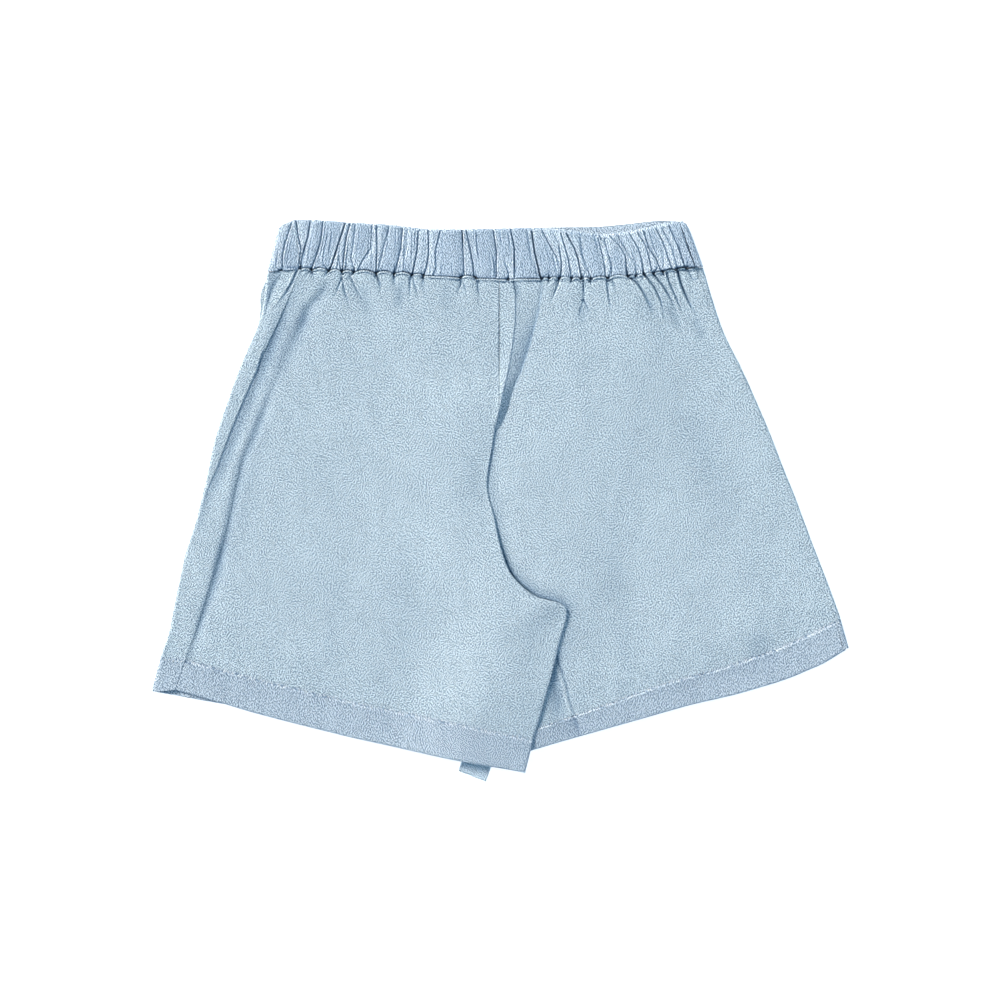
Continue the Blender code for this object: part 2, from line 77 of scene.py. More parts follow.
BAND_FRONT_UNDERSIDE = 0.4
BAND_TURN_HEIGHT = 7.2       # height of the front band's turned-up sides
BAND_BACK_TOP = 7.3          # of the back band, and how its height varies along it
BAND_BACK_WAVES = ((0.25, 1.0, 0.0, 30.0),)
BAND_ROLL = 2.2              # radius of the waistband's upper edge
BAND_OVERHANG = 0.4          # of the back band past its left side seam
BACK_BAND_RISE = 0.15        # from the waist seam to the lower edge of each band
FRONT_BAND_RISE = 0.2
BAND_EDGE_RELIEF = 0.15      # how far the gathers' relief moves the upper edge
BAND_EDGE_WAVES = ((0.2, 1.0, 1.0, 1.5),)
BAND_EDGE_INSET = 3.0        # from that edge to where the relief is read
BAND_MEET = 0.7              # from the side seam to the end of the front band's turned side
BAND_SHELL = 1.0
FRONT_BAND_SHELL = 1.1

TIE_WIDTH = 19.3
TIE_LIFT = 1.5
TIE_MARGIN = 6.0
TIE_STEP = 40.0

# Columns of the legs' tables, after the name of the place: outer fold, side seam on the back,
# inner edges of back and front
OUTER, SEAM, BACK_INNER, FRONT_INNER = range(1, 5)

LEFT_LEG = (
    ("waist",   (-151.4, 147.8), (-129.0, 149.4), (-0.8, 143.0), (-0.8, 143.0)),
    ("gather",  (-155.6, 118.3), (-142.3, 118.3), (-0.8, 113.0), (-0.8, 113.0)),
    ("hip",     (-167.1, 91.0), (-154.7, 91.0), (-0.8, 87.0), (-0.8, 87.0)),
    ("pleat",   (-176.8, 65.0), (-161.8, 65.0), (-0.8, 62.0), (-0.8, 62.0)),
    ("seat",    (-185.4, 39.0), (-165.8, 39.0), (-4.6, 36.0), (-10.3, 39.0)),
    ("turn",    (-191.1, 13.0), (-170.3, 13.0), (-8.2, 10.0), (-17.3, 13.0)),
    ("bend",    (-197.0, -11.1), (-176.2, -13.0), (-3.9, -10.0), (-16.3, -10.0)),
    ("sweep",   (-201.6, -26.0), (-180.1, -29.2), (0.4, -30.4), (-11.3, -31.0)),
    ("under",   (-204.9, -36.4), (-183.3, -40.3), (7.5, -48.6), (-4.8, -52.0)),
    ("rise",    (-206.6, -44.2), (-185.9, -48.1), (22.4, -62.4), (10.0, -67.5)),
    ("crotch",  (-208.4, -52.0), (-187.8, -54.6), (43.0, -71.0), (38.0, -76.5)),
    ("thigh",   (-211.9, -69.5), (-192.4, -70.2), (37.9, -96.0), (36.7, -98.0)),
    ("leg",     (-215.2, -85.8), (-197.6, -86.5), (30.3, -126.0), (29.1, -128.0)),
    ("stitch",  (-220.8, -102.0), (-204.1, -103.7), (21.8, -155.3), (20.6, -157.0)),
)
RIGHT_LEG = (
    ("waist",   (132.1, 150.8), (126.3, 151.3), (-0.5, 143.0), (-0.5, 143.0)),
    ("gather",  (138.9, 128.1), (135.3, 128.1), (-0.5, 113.0), (-0.5, 113.0)),
    ("hip",     (146.2, 107.2), (142.5, 106.6), (-0.5, 87.0), (-0.5, 87.0)),
    ("pleat",   (157.2, 85.2), (153.6, 84.5), (-0.5, 62.0), (-0.5, 62.0)),
    ("seat",    (166.5, 64.4), (162.9, 63.7), (-10.0, 39.0), (-10.0, 39.0)),
    ("turn",    (175.7, 42.9), (172.1, 42.2), (-17.0, 13.0), (-17.0, 13.0)),
    ("bend",    (184.5, 20.2), (180.9, 19.5), (-16.0, -10.0), (-16.0, -10.0)),
    ("sweep",   (191.6, 2.6), (188.0, 2.0), (-11.0, -31.0), (-11.0, -31.0)),
    ("under",   (198.2, -15.0), (194.6, -15.6), (-2.0, -50.0), (-2.0, -50.0)),
    ("rise",    (203.2, -28.6), (199.6, -29.2), (13.0, -65.0), (13.0, -65.0)),
    ("crotch",  (208.6, -42.4), (205.0, -43.0), (39.0, -75.0), (39.0, -75.0)),
    ("thigh",   (214.0, -56.4), (210.4, -57.0), (29.0, -97.0), (29.0, -97.0)),
    ("leg",     (218.3, -68.0), (214.7, -68.6), (12.5, -127.0), (12.5, -127.0)),
    ("stitch",  (221.7, -78.1), (218.1, -78.7), (-1.0, -157.0), (-1.0, -157.0)),
)
LEFT_HEM = ((-226.8, -124.6), (-210.9, -123.6), (16.3, -177.4), (15.2, -176.2))
RIGHT_HEM = ((226.8, -96.4), (223.2, -97.6), (-4.2, -170.5), (-4.2, -170.5))

STRAIGHT = ((0.0, 0.0), (1.0, 0.0))
WAIST_SAG_RIGHT = ((0.0, 0.0), (0.25, 1.4), (0.5, 4.2), (0.7, 3.8), (0.87, 1.8), (1.0, 0.0))
STITCH_SAG_LEFT = ((0.0, 0.0), (0.25, 0.9), (0.5, 2.5), (0.75, 1.9), (1.0, 0.0))
HEM_SAG_LEFT = ((0.0, 0.0), (0.22, 3.0), (0.5, 4.2), (0.7, 3.6), (0.8, 2.9), (0.88, 1.5),
                (0.94, 0.8), (1.0, 0.0))
FRONT_HEM_SAG_LEFT = ((0.0, 0.0), (0.25, 1.2), (0.5, 0.8), (0.7, -1.0), (0.8, -1.9),
                      (0.87, -0.8), (0.94, -0.6), (1.0, 0.0))
STITCH_SAG_RIGHT = ((0.0, 0.0), (0.3, 0.6), (0.5, 0.2), (0.65, 3.4), (0.82, 4.0), (1.0, 0.0))
HEM_SAG_RIGHT = ((0.0, 0.0), (0.2, 1.2), (0.4, 2.9), (0.56, 4.1), (0.7, 7.1), (0.84, 7.7),
                 (0.91, 5.9), (0.955, 5.0), (1.0, 0.0))

BAND_BACK_TOP_EDGE = ((-133.0, 181.9), (-118.0, 181.8), (-97.5, 180.1), (-68.2, 178.4),
                      (-45.5, 175.5), (-13.0, 175.8), (26.0, 176.8), (48.8, 174.8), (65.0, 171.6),
                      (78.0, 173.6), (94.2, 176.2), (107.0, 179.8), (115.7, 180.9))
BAND_FRONT_TOP_EDGE = ((-143.8, 178.0), (-130.0, 181.2), (-97.5, 178.6), (-45.5, 174.4),
                       (0.0, 175.0), (26.0, 177.1), (65.0, 177.5), (91.0, 180.1), (104.0, 182.1),
                       (121.5, 180.4))

FLAP_LEFT = ((-150.5, 146.5), (-155.6, 134.0), (-156.8, 116.0), (-165.0, 86.0), (-183.0, 36.0),
             (-194.0, -13.0), (-205.0, -62.0), (-208.0, -73.0))
FLAP_FREE = ((78.0, 143.6), (93.0, 70.0), (124.0, -6.0), (156.0, -73.0))
FLAP_HEM = ((-208.0, -73.0), (-130.0, -97.5), (-52.0, -114.4), (0.0, -119.6), (52.0, -112.0),
            (117.0, -92.0), (156.0, -73.0))
FLAP_TOP_DEPTH = 4.6
FLAP_SHELL = 1.0
FLAP_UNEVENNESS = 0.1
FLAP_RELIEF = 0.55           # how far the flap's soft creases rise off the surface it lies on
# Soft creases of the hidden front
FLAP_CREASES = (
    ("trough", 0.6, 5.0, ((-128.0, 132.0), (-134.0, 98.0), (-149.0, 54.0), (-168.0, 6.0))),
    ("trough", 0.4, 3.2, ((-96.0, 136.0), (-99.0, 116.0), (-108.0, 88.0))),
    ("trough", 0.5, 4.0, ((-44.0, 134.0), (-49.0, 104.0), (-61.0, 62.0), (-66.0, 30.0))),
    ("trough", 0.6, 6.5, ((18.0, 128.0), (29.0, 82.0), (52.0, 24.0), (71.0, -36.0))),
    ("trough", 0.4, 3.5, ((52.0, 134.0), (58.0, 110.0), (70.0, 76.0))),
    ("trough", 0.5, 5.5, ((-88.0, -14.0), (-98.0, -52.0), (-104.0, -102.0))),
    ("trough", 0.4, 4.5, ((96.0, -8.0), (112.0, -44.0), (119.0, -92.0))),
)

TIE_ROUTE = ((66.0, 138.0), (57.2, 65.0), (39.0, -13.0), (13.0, -97.5), (-18.4, -180.2))

# ---------------------------------------------------------------- creases

# Gathers of the waistband: how deep, the side that stands up (-1 left, 1 right), points downward
BAND_GATHERS = (
    ("medium", 1, ((-140.5, 178.9), (-144.1, 163.0), (-145.2, 152.2))),
    ("strong", 1, ((-135.1, 179.7), (-139.8, 165.2), (-141.2, 158.0), (-141.2, 150.8))),
    ("strong", -1, ((-132.2, 180.4), (-130.7, 169.5), (-128.9, 163.0), (-130.7, 150.8))),
    ("strong", -1, ((-123.1, 181.1), (-124.9, 169.5), (-127.8, 160.9), (-129.6, 152.9))),
    ("strong", 1, ((-114.8, 181.1), (-116.3, 167.4), (-119.2, 158.0), (-123.1, 147.9))),
    ("deep", -1, ((-100.4, 179.7), (-104.0, 168.8), (-108.3, 155.1), (-111.9, 145.7))),
    ("deep", 1, ((-97.1, 179.7), (-99.7, 170.3), (-101.1, 159.4), (-102.6, 145.7))),
    ("medium", -1, ((-104.7, 156.5), (-102.6, 146.4))),
    ("medium", 1, ((-93.9, 178.2), (-95.3, 165.2), (-96.6, 156.5), (-93.9, 147.2))),
    ("medium", -1, ((-83.1, 177.5), (-83.8, 163.0), (-88.8, 155.8), (-93.7, 146.4))),
    ("strong", -1, ((-80.2, 177.5), (-79.8, 163.0), (-80.5, 146.4))),
    ("medium", 1, ((-71.9, 176.8), (-75.1, 165.2), (-77.6, 155.1), (-79.4, 147.9))),
    ("strong", 1, ((-63.2, 176.0), (-64.3, 163.0), (-66.8, 152.2), (-68.2, 145.0))),
    ("faint", 1, ((-59.9, 174.6), (-61.4, 158.0))),
    ("strong", -1, ((-53.1, 173.9), (-53.8, 161.6), (-56.7, 146.4))),
    ("strong", -1, ((-46.6, 174.8), (-46.2, 159.6), (-47.7, 150.3), (-50.6, 142.3))),
    ("medium", -1, ((-38.6, 174.8), (-41.9, 161.1), (-41.5, 150.3), (-44.8, 142.3))),
    ("strong", 1, ((-24.6, 174.8), (-23.8, 161.1), (-23.1, 143.8))),
    ("strong", -1, ((-22.0, 175.5), (-19.5, 163.3), (-17.7, 153.9), (-16.6, 143.0))),
    ("strong", 1, ((-4.3, 174.8), (-2.2, 161.1), (-2.2, 144.5))),
    ("medium", -1, ((2.9, 153.9), (5.8, 147.4), (5.4, 142.3))),
    ("strong", -1, ((6.9, 175.5), (9.4, 163.3), (9.4, 144.5))),
    ("deep", -1, ((20.6, 174.1), (22.4, 161.1), (26.4, 143.8))),
    ("strong", -1, ((26.7, 176.3), (31.8, 166.1), (36.8, 157.5))),
    ("faint", -1, ((33.2, 175.5), (38.3, 166.9))),
    ("strong", -1, ((38.3, 164.0), (40.1, 153.9), (39.4, 143.8))),
    ("strong", -1, ((39.7, 172.4), (44.4, 156.5), (46.6, 143.5))),
    ("deep", -1, ((43.3, 172.4), (48.4, 163.0), (50.9, 155.8), (53.1, 143.5))),
    ("medium", 1, ((52.0, 169.5), (53.8, 158.0), (58.9, 144.3))),
    ("medium", -1, ((63.9, 169.5), (65.7, 163.0), (67.9, 152.9), (68.6, 144.3))),
    ("medium", -1, ((64.6, 171.0), (68.6, 165.2))),
    ("medium", -1, ((67.9, 168.8), (70.8, 158.0), (72.4, 152.2), (72.2, 143.5))),
    ("strong", -1, ((71.5, 171.0), (78.0, 164.5), (81.6, 158.0), (82.3, 145.0))),
    ("medium", -1, ((76.6, 171.0), (83.8, 158.7), (88.1, 152.2), (88.5, 146.4))),
    ("strong", -1, ((83.8, 173.2), (89.6, 163.8), (92.1, 155.8), (93.5, 146.4))),
    ("strong", -1, ((89.6, 173.2), (94.6, 165.2), (96.8, 158.0), (98.9, 147.9))),
    ("strong", -1, ((93.5, 173.9), (96.8, 163.0), (101.8, 155.8), (105.1, 147.5))),
    ("strong", -1, ((101.8, 175.3), (106.2, 166.7), (109.4, 156.5), (112.7, 147.9))),
    ("medium", -1, ((105.4, 176.0), (111.9, 163.0), (114.8, 152.2), (114.5, 148.6))),
    ("strong", -1, ((109.8, 177.5), (116.3, 163.0), (120.6, 149.3))),
    ("faint", 1, ((106.2, 163.0), (106.5, 156.5), (106.2, 150.8))),
)
GATHER_SHAPES = {"faint": (0.6, 0.34), "medium": (1.2, 0.34), "strong": (1.7, 0.36),
                 "deep": (2.4, 0.40)}                                       # depth, width

# Where the gathers are caught in the band's seam
SEAM_KNOTS = (-142.3, -130.0, -122.2, -111.2, -102.7, -94.9, -80.6, -68.9, -57.2, -49.7, -25.4,
              -15.6, 5.2, 27.3, 31.9, 38.4, 46.5, 52.6, 59.1, 70.2, 83.2, 88.4, 93.6, 99.8,
              106.0, 114.4, 121.5)
KNOT_RADIUS = 1.1
KNOT_DEPTH = 1.8
KNOT_RAYS = 3                # fine creases from each knot, and the ranges that they are drawn from
RAY_LEAN = 0.9
RAY_LENGTHS = (3.0, 8.5)
RAY_DEPTHS = (0.8, 2.2)
RAY_WIDTH = 0.42
FINE_GATHERS = 58            # short folds of the waistband between its gathers
FINE_GATHER_SPAN = (-138.0, 116.0)
FINE_JITTER = 2.5
FINE_LEAN = (0.12, 0.30)     # in the middle of the band, and the gain from there to its right end
FINE_LENGTHS = (9.0, 26.0)
FINE_DEPTHS = (0.4, 1.1)
FINE_BEND = 0.8
FINE_START = (0.0, 0.2)      # shares of a fine gather over which it grows, and fades
FINE_END = (0.75, 1.0)
FINE_WIDTH = 0.42
FINE_CREST = 0.9
FINE_TOP = 176.0             # a fine gather hangs from here, or stands on FINE_LOW
FINE_LOW = 144.0
ARCH_SLOPE = 0.15            # rise of the seam between two knots, for each millimetre between them
ARCH_RISE = 1.7              # highest arch
ARCH_BASE = 0.2
ARCH_REACH = 5.0             # how far down the panels the arches are felt
FLAT_GAPS = (13.0, 22.0)     # between knots this far apart, the seam lies flatter, then flat

# Creases of the panels: form, depth, width, points downward. A groove is sharp, a trough is soft,
# and a left or right fold is a groove beside a crest on that side.
LEFT_CREASES = (
    ("trough", 1.0, 3.2, ((-109.8, 144.5), (-115.6, 133.4), (-124.2, 124.0), (-132.0, 106.0))),
    ("right fold", 0.9, 0.9, ((-102.6, 143.8), (-107.6, 131.3))),
    ("right fold", 1.2, 0.9, ((-102.6, 143.7), (-100.4, 133.4), (-97.5, 124.8))),
    ("right fold", 1.2, 0.9, ((-96.8, 143.8), (-93.2, 136.3), (-89.6, 130.5))),
    ("groove", 1.0, 0.8, ((-79.4, 144.3), (-78.0, 140.7), (-77.6, 134.3))),
    ("groove", 0.8, 0.8, ((-68.6, 143.5), (-68.2, 137.9))),
    ("trough", 0.8, 3.0, ((-64.0, 142.0), (-65.0, 123.2))),
    ("groove", 1.0, 0.8, ((-58.5, 143.1), (-58.5, 130.7))),
    ("groove", 0.9, 0.8, ((-56.3, 142.2), (-52.7, 130.7))),
    ("trough", 0.6, 1.8, ((-51.3, 142.1), (-47.7, 132.4))),
    ("groove", 0.7, 0.8, ((-24.6, 142.1), (-27.4, 134.1))),
    ("groove", 0.7, 0.8, ((-23.8, 140.7), (-21.7, 134.8))),
    ("groove", 1.0, 0.8, ((-14.4, 141.4), (-14.1, 135.8), (-12.6, 130.9))),
    ("trough", 0.7, 3.5, ((-90.0, 140.0), (-84.0, 118.0))),
    ("trough", 0.4, 4.0, ((-35.0, 140.0), (-33.0, 118.0))),
    ("trough", 0.3, 7.0, ((-150.0, 60.0), (-162.0, 10.0), (-172.0, -40.0))),
    ("trough", 0.25, 9.0, ((-60.0, -20.0), (-62.0, -70.0), (-64.0, -120.0))),
    ("trough", 0.25, 6.0, ((-104.0, -40.0), (-108.0, -80.0), (-110.0, -125.0))),
)
RIGHT_CREASES = (
    ("trough", 1.0, 2.2, ((7.2, 143.3), (11.6, 137.3), (13.0, 130.9))),
    ("right fold", 1.3, 0.9, ((39.0, 143.6), (35.8, 134.4), (33.2, 128.0))),
    ("groove", 1.4, 0.9, ((54.2, 144.1), (54.4, 136.3), (54.2, 127.8))),
    ("groove", 0.8, 1.2, ((54.2, 129.8), (50.6, 117.0))),
    ("groove", 0.8, 1.2, ((54.5, 129.8), (58.5, 119.9))),
    ("trough", 0.7, 3.0, ((54.4, 126.0), (54.4, 112.0))),
    ("left fold", 1.2, 0.9, ((69.0, 144.8), (70.1, 134.9), (72.2, 122.0))),
    ("groove", 1.0, 0.8, ((72.2, 143.1), (75.8, 136.0))),
    ("left fold", 1.5, 1.2, ((83.1, 145.3), (89.6, 139.9), (93.9, 133.4), (98.9, 122.8))),
    ("left fold", 1.5, 1.0, ((93.9, 146.3), (100.4, 137.8), (104.7, 129.1), (106.9, 117.7))),
    ("left fold", 1.5, 1.1, ((99.4, 147.0), (107.3, 137.0), (111.4, 129.7), (114.7, 122.4))),
    ("left fold", 1.3, 0.9, ((108.4, 146.9), (110.5, 140.0), (114.5, 131.5), (119.5, 119.0))),
    ("left fold", 1.7, 1.2, ((115.6, 148.4), (118.1, 139.2), (122.1, 129.8), (127.8, 119.9))),
    ("groove", 0.9, 0.8, ((122.1, 148.9), (125.7, 142.8), (131.4, 143.5))),
    ("trough", 0.7, 2.5, ((96.0, 132.0), (101.0, 119.0))),
    ("trough", 0.7, 3.0, ((110.0, 128.0), (118.0, 110.0))),
    ("trough", 0.7, 3.5, ((127.0, 120.0), (134.0, 102.0))),
    ("left fold", 1.0, 1.1, ((35.5, -100.5), (36.9, -104.0), (40.0, -112.5), (43.2, -122.0),
                             (45.0, -131.0), (48.5, -142.0), (56.0, -164.0))),
    ("trough", 1.1, 5.0, ((34.0, -98.0), (36.0, -114.0), (39.5, -146.0))),
    ("trough", 0.25, 8.0, ((120.0, 60.0), (138.0, 20.0), (150.0, -20.0))),
    ("trough", 0.5, 9.0, ((172.0, -88.0), (171.0, -104.0))),
    ("trough", 0.25, 7.0, ((70.0, -20.0), (80.0, -70.0), (84.0, -120.0))),
)
STRIP_CREASES = (
    ("left fold", 1.3, 1.1, ((-131.4, 149.6), (-135.1, 140.7), (-139.4, 133.4), (-147.2, 123.7))),
    ("trough", 0.9, 1.8, ((-140.8, 147.4), (-146.6, 137.8), (-152.4, 124.8), (-158.0, 112.0))),
)
# Creases that cross from the strip of the left front onto the left back
SIDE_CREASES = (
    ("trough", 1.2, 4.2, ((-133.0, 138.0), (-140.5, 119.0), (-149.0, 97.0), (-154.5, 82.9),
                          (-162.3, 64.7), (-171.7, 41.9), (-180.2, 19.2), (-186.5, 6.0),
                          (-194.0, -16.0))),
    ("trough", 0.9, 5.0, ((-122.0, 126.0), (-131.0, 108.0), (-141.0, 88.0), (-146.0, 76.0))),
    ("trough", 1.1, 2.8, ((-142.0, 86.0), (-145.5, 77.7), (-152.5, 59.0), (-159.3, 41.9),
                          (-167.0, 24.0), (-173.5, -3.6), (-181.0, -43.9), (-186.0, -66.0))),
    ("left fold", 0.7, 1.0, ((-153.6, 96.0), (-157.6, 82.9), (-165.8, 64.7), (-175.2, 41.9),
                             (-183.6, 19.2), (-189.8, 6.2), (-197.0, -15.0), (-206.0, -45.0))),
    ("trough", 1.2, 2.5, ((-178.0, -20.0), (-186.0, -55.0), (-194.0, -80.0), (-201.0, -102.0))),
)

# The pleat beside the centre seam: its floor falls from the first line to the second
PLEAT_TOP = ((8.7, 142.0), (10.1, 132.9), (10.0, 116.0), (8.5, 101.7), (6.2, 87.0), (3.2, 74.0),
             (0.3, 62.0), (-1.5, 54.5), (-3.1, 45.5), (-3.7, 41.0))
PLEAT_FLOOR = ((27.8, 142.0), (26.6, 132.0), (24.3, 120.0), (19.5, 102.0), (14.5, 86.0),
               (9.0, 72.0), (5.2, 58.4), (0.2, 46.0), (-2.6, 40.0))
PLEAT_START = (44.0, 60.0)   # heights over which the pleat forms
PLEAT_SOFTER = (100.0, 135.0)    # and over which it loses the next share of its depth
PLEAT_LOSS = 0.4
PLEAT_DEPTH = 0.9
PLEAT_CREST = 0.9
PLEAT_CREST_REACH = 4.0
PLEAT_LEFT_RUN = (44.0, 52.0)    # heights over which it starts to stand as high as the left back
PLEAT_NARROWEST = 0.8
PLEAT_WALL = 0.35
PLEAT_SHADE = 1.3
PLEAT_SHADE_RUN = (55.0, 100.0)  # heights over which the shade grows from the next share to all
PLEAT_LOW_SHADE = 0.35
PLEAT_SHADE_END = (0.3, 1.0)
PLEAT_LINE = 1.6             # painted shade of the crisp dark line along the pleat's upper edge
PLEAT_LINE_RUN = (60.0, 72.0)
PLEAT_LINE_WIDTH = 0.45
PLEAT_SHADE_REACH = (1.8, 4.2)   # how far the shade reaches across the pleat: at its top, lower
PLEAT_REACH_RUN = (98.0, 122.0)

RIGHT_HEM_CREASES = (
    ("groove", 0.6, 1.6, ((45.4, -132.0), (47.2, -138.0), (50.4, -147.5), (55.0, -160.0))),
    ("trough", 0.6, 4.5, ((44.0, -130.0), (47.0, -142.0), (51.0, -158.0))),
    ("trough", 0.5, 9.0, ((172.0, -88.0), (171.0, -108.0))),
)

CREST_HEIGHT = 0.6           # of the crest beside a fold, as a share of the fold's depth
CREST_WIDTH = 0.5            # and its width, as a share of its distance from the fold
CREST_GAP = 0.4              # from the width of a fold to its crest
GATHER_CREST = 0.95          # from a gather of the waistband to its crest
LINE_FADE = (0.4, 1.0)       # shares of a sharp crease between which it fades
LINE_LOSS = 0.85             # and how much of it is gone at its end
TROUGH_START = (-0.05, 0.25)
TROUGH_FADE = (0.7, 1.0)
TROUGH_LOSS = 0.7
SHARPNESS = 0.6              # width of a sharp crease's dark line, as a share of the crease's
LINE_RELIEF = 0.6            # share of a sharp crease's depth that is relief
BAND_LINE_RELIEF = 0.48      # the same for the waistband's gathers
LINE_SHADE = 1.3             # and how much of it is shade
TROUGH_SHADE = 0.55
SLAB_SHADE = 0.7             # painted light: how much paler the narrow pleats of the waistband are drawn than the wide
SLAB_WIDTHS = (3.0, 11.0)    # from a narrow pleat to a wide one
WIDEST_SLAB = 20.0
STRIP_SHADE = 0.55           # of the lower layer left of the strip's second crease
STRIP_SHADE_START = (104.0, 114.0)
STRIP_SHADE_END = (146.0, 150.0)
STRIP_SHADE_EDGE = 2.0
# Ridges and grooves along a line, as relief and as painted shade and highlight: height, distance
# from the line, width
PANEL_SEAM_RIDGES = ((-1.5, 0.0, 0.42), (1.4, 1.15, 0.45), (-0.9, 2.1, 0.4))
BAND_SEAM_RIDGES = ((-1.2, 0.0, 0.45),)
STITCH_RIDGES = ((-0.25, 0.0, 0.45), (0.22, 1.1, 0.6))
TIE_RIDGES = ((-0.15, 2.2, 0.5),)
# Puffs between creases: height, reach across, and reach down from the seam or depth under them
PANEL_PUFF = (1.1, 2.6, 17.0)
BAND_PUFF = (0.9, 2.0, 0.5)
WAIST_CREASE_Y = 135.0       # the creases that start above this come from the waist seam
# Smooth waves: height, how far they are squeezed across and along, and size
SEAM_DEPTH_WAVES = ((0.5, 1.0, 0.0, 2.5),)
BAND_WAVES = ((0.10, 1.8, 0.35, 3.0), (0.12, 1.0, 1.0, 7.0))
CLOTH_WAVES = ((0.24, 1.0, 0.6, 31.0), (0.11, 1.0, 0.5, 12.0), (0.04, 1.0, 0.5, 5.0))
LEG_RIPPLES = ((0.16, 1.0, 0.12, 8.5),)
LEFT_RIPPLES_Y = -100.0      # upright ripples are full below this, and fade above it
RIGHT_RIPPLES_Y = -90.0
RIPPLES_FADE = 60.0
NOISE_CELLS = 256
NOISE_SHIFT = 1000.0         # keeps every place in the noise above 0
CENTRE_WIDTH = 0.55          # of the painted shade along the left back's stitched edge at the centre seam
CENTRE_LOW = 0.35            # share of its darkness at its low end, and heights where it grows
CENTRE_RUN = (88.0, 104.0)
CENTRE_SHADE_WAVES = ((0.5, 0.0, 1.0, 1.6),)
# Radius of the roll at the left back's inner edge: when stitched, and its gain when folded and
# when in the leg
LEFT_ROLL = (0.2, 0.7, 0.8)
RIGHT_ROLL = 0.2
PRESS_REACH = 12.0           # how far in the left back is pressed down, and its gain in the leg
PRESS_REACH_GAIN = 20.0
PRESS_LEG = (-100.0, -68.0)
UNDER_STRIP_REACH = 8.0      # the left back beside the strip: reach, relief and shade
UNDER_STRIP_RELIEF = 0.2
UNDER_STRIP_SHADE = 0.3
DARK_LINE_WIDTH = 1.0        # of the painted shadow line beside the left back's edge
BESIDE_FADE = (54.0, 64.0)
# The edge of the left back, at places up the garment: how far it is pressed down, and the painted
# dark line of shadow, the soft painted shade and the reach of that shade on the right back beside
# it
FOLD_EDGE = (
    (-180.0, 2.4, 0.0, 0.1, 5.0),
    (-120.0, 2.8, 0.0, 0.25, 6.0),
    (-100.0, 2.9, 0.0, 0.4, 7.0),
    (-88.0, 3.1, 0.0, 0.3, 7.0),
    (-76.0, 3.1, 0.0, 0.25, 6.0),
    (-68.0, 2.0, 1.0, 0.8, 5.0),
    (-58.0, 1.0, 1.5, 0.9, 5.5),
    (-45.0, 0.9, 1.5, 0.7, 5.0),
    (-33.0, 0.9, 0.8, 0.6, 3.5),
    (-18.0, 1.1, 0.2, 0.5, 4.0),
    (0.0, 1.6, 0.0, 0.35, 6.0),
    (14.0, 1.1, 0.1, 0.5, 4.0),
    (30.0, 1.1, 0.4, 0.6, 3.0),
    (56.0, 0.7, 0.1, 0.35, 3.5),
)

LINE_SHARES = np.linspace(0.0, 1.0, 61)
EASING_STEPS = (-1.0, -0.5, 0.0, 0.5, 1.0)
CORNER_EASE = 0.03           # share of a table's length over which its corners are eased
WAIST_POINTS = 21
WAIST_CROWDING = 0.6         # of a panel's rows towards the gathers
EDGE_CROWDING = 0.05         # of a grid's rows or columns towards its edges
PANEL_ROWS = 280
PANEL_COLUMNS = 300
FRONT_ROWS = 180
UNDERSIDE_COLUMNS = 50
TURN_POINTS = 11
STRIP_COLUMNS = 44
STRIP_CROWDING = 0.06
HEM_ROWS = 34
HEM_COLUMNS = 260
HEM_CROWDING = (0.09, 0.03)  # of rows, of columns
BAND_ROWS = 60
BAND_COLUMNS = 900
BAND_CROWDING = 0.07
FRONT_BAND_GRID = (40, 220)
BAND_TURN_POINTS = 13
BAND_STRIP_COLUMNS = 46
FLAP_GRID = (90, 110)
TIE_GRID = (170, 24)
TIE_CROWDING = 0.1
TIE_ROLL = 0.5
TIE_SHELL = 1.0
FINE_STEP = 3                # rows and columns of fine cloth to one of its lining
SHARP_ANGLE = 75.0
TINY = 1.0e-9

STRIP_LIFT = 0.5             # of the left front's strip over the left back, and where it has it
STRIP_REACH = 7.0
STRIP_ROLL = 0.6
STRIP_START = (70.0, 100.0)
STRIP_SOFTER = (135.0, 150.0)
STRIP_LOSS = 0.4
STRIP_LOW = 0.25             # share of the lift in the leg
STRIP_LOW_END = (10.0, 40.0)
FOLD_OUT_RUN = 2.5           # from a side fold to where the strip has its full relief
HEM_ROLL = 1.2               # radius of a hem's lower fold
HEM_INNER_ROLL = {"left": 1.1, "right": 0.3}
HEM_SEAM_ROLL = 0.3
HEM_WAVES = ((0.12, 1.0, 1.0, 9.0),)
FRONT_HEM_WAVES = ((0.08, 1.0, 1.0, 7.0),)
HEM_PUCKERS = ((0.14, 1.0, 0.25, 3.4),)
PUCKER_FADE = 8.0
THICKENING_RUN = 2.5         # below its stitching, over which a hem gains its second layer
STITCH_INSET = 1.3           # from a hem's upper edge to its stitching
STITCH_WEAR = 2.2            # paleness of the worn cloth along a hem's stitching
STITCH_WEAR_WIDTH = 1.3
STITCH_WEAR_BASE = 0.15
STITCH_SPECKLE = ((1.2, 1.0, 1.2, 1.1),)
CORNER_DROP = 2.0            # rounding of the band's upper corners
CORNER_SHARPNESS = 6
BAND_STRIP_START = (0.0, 0.25)

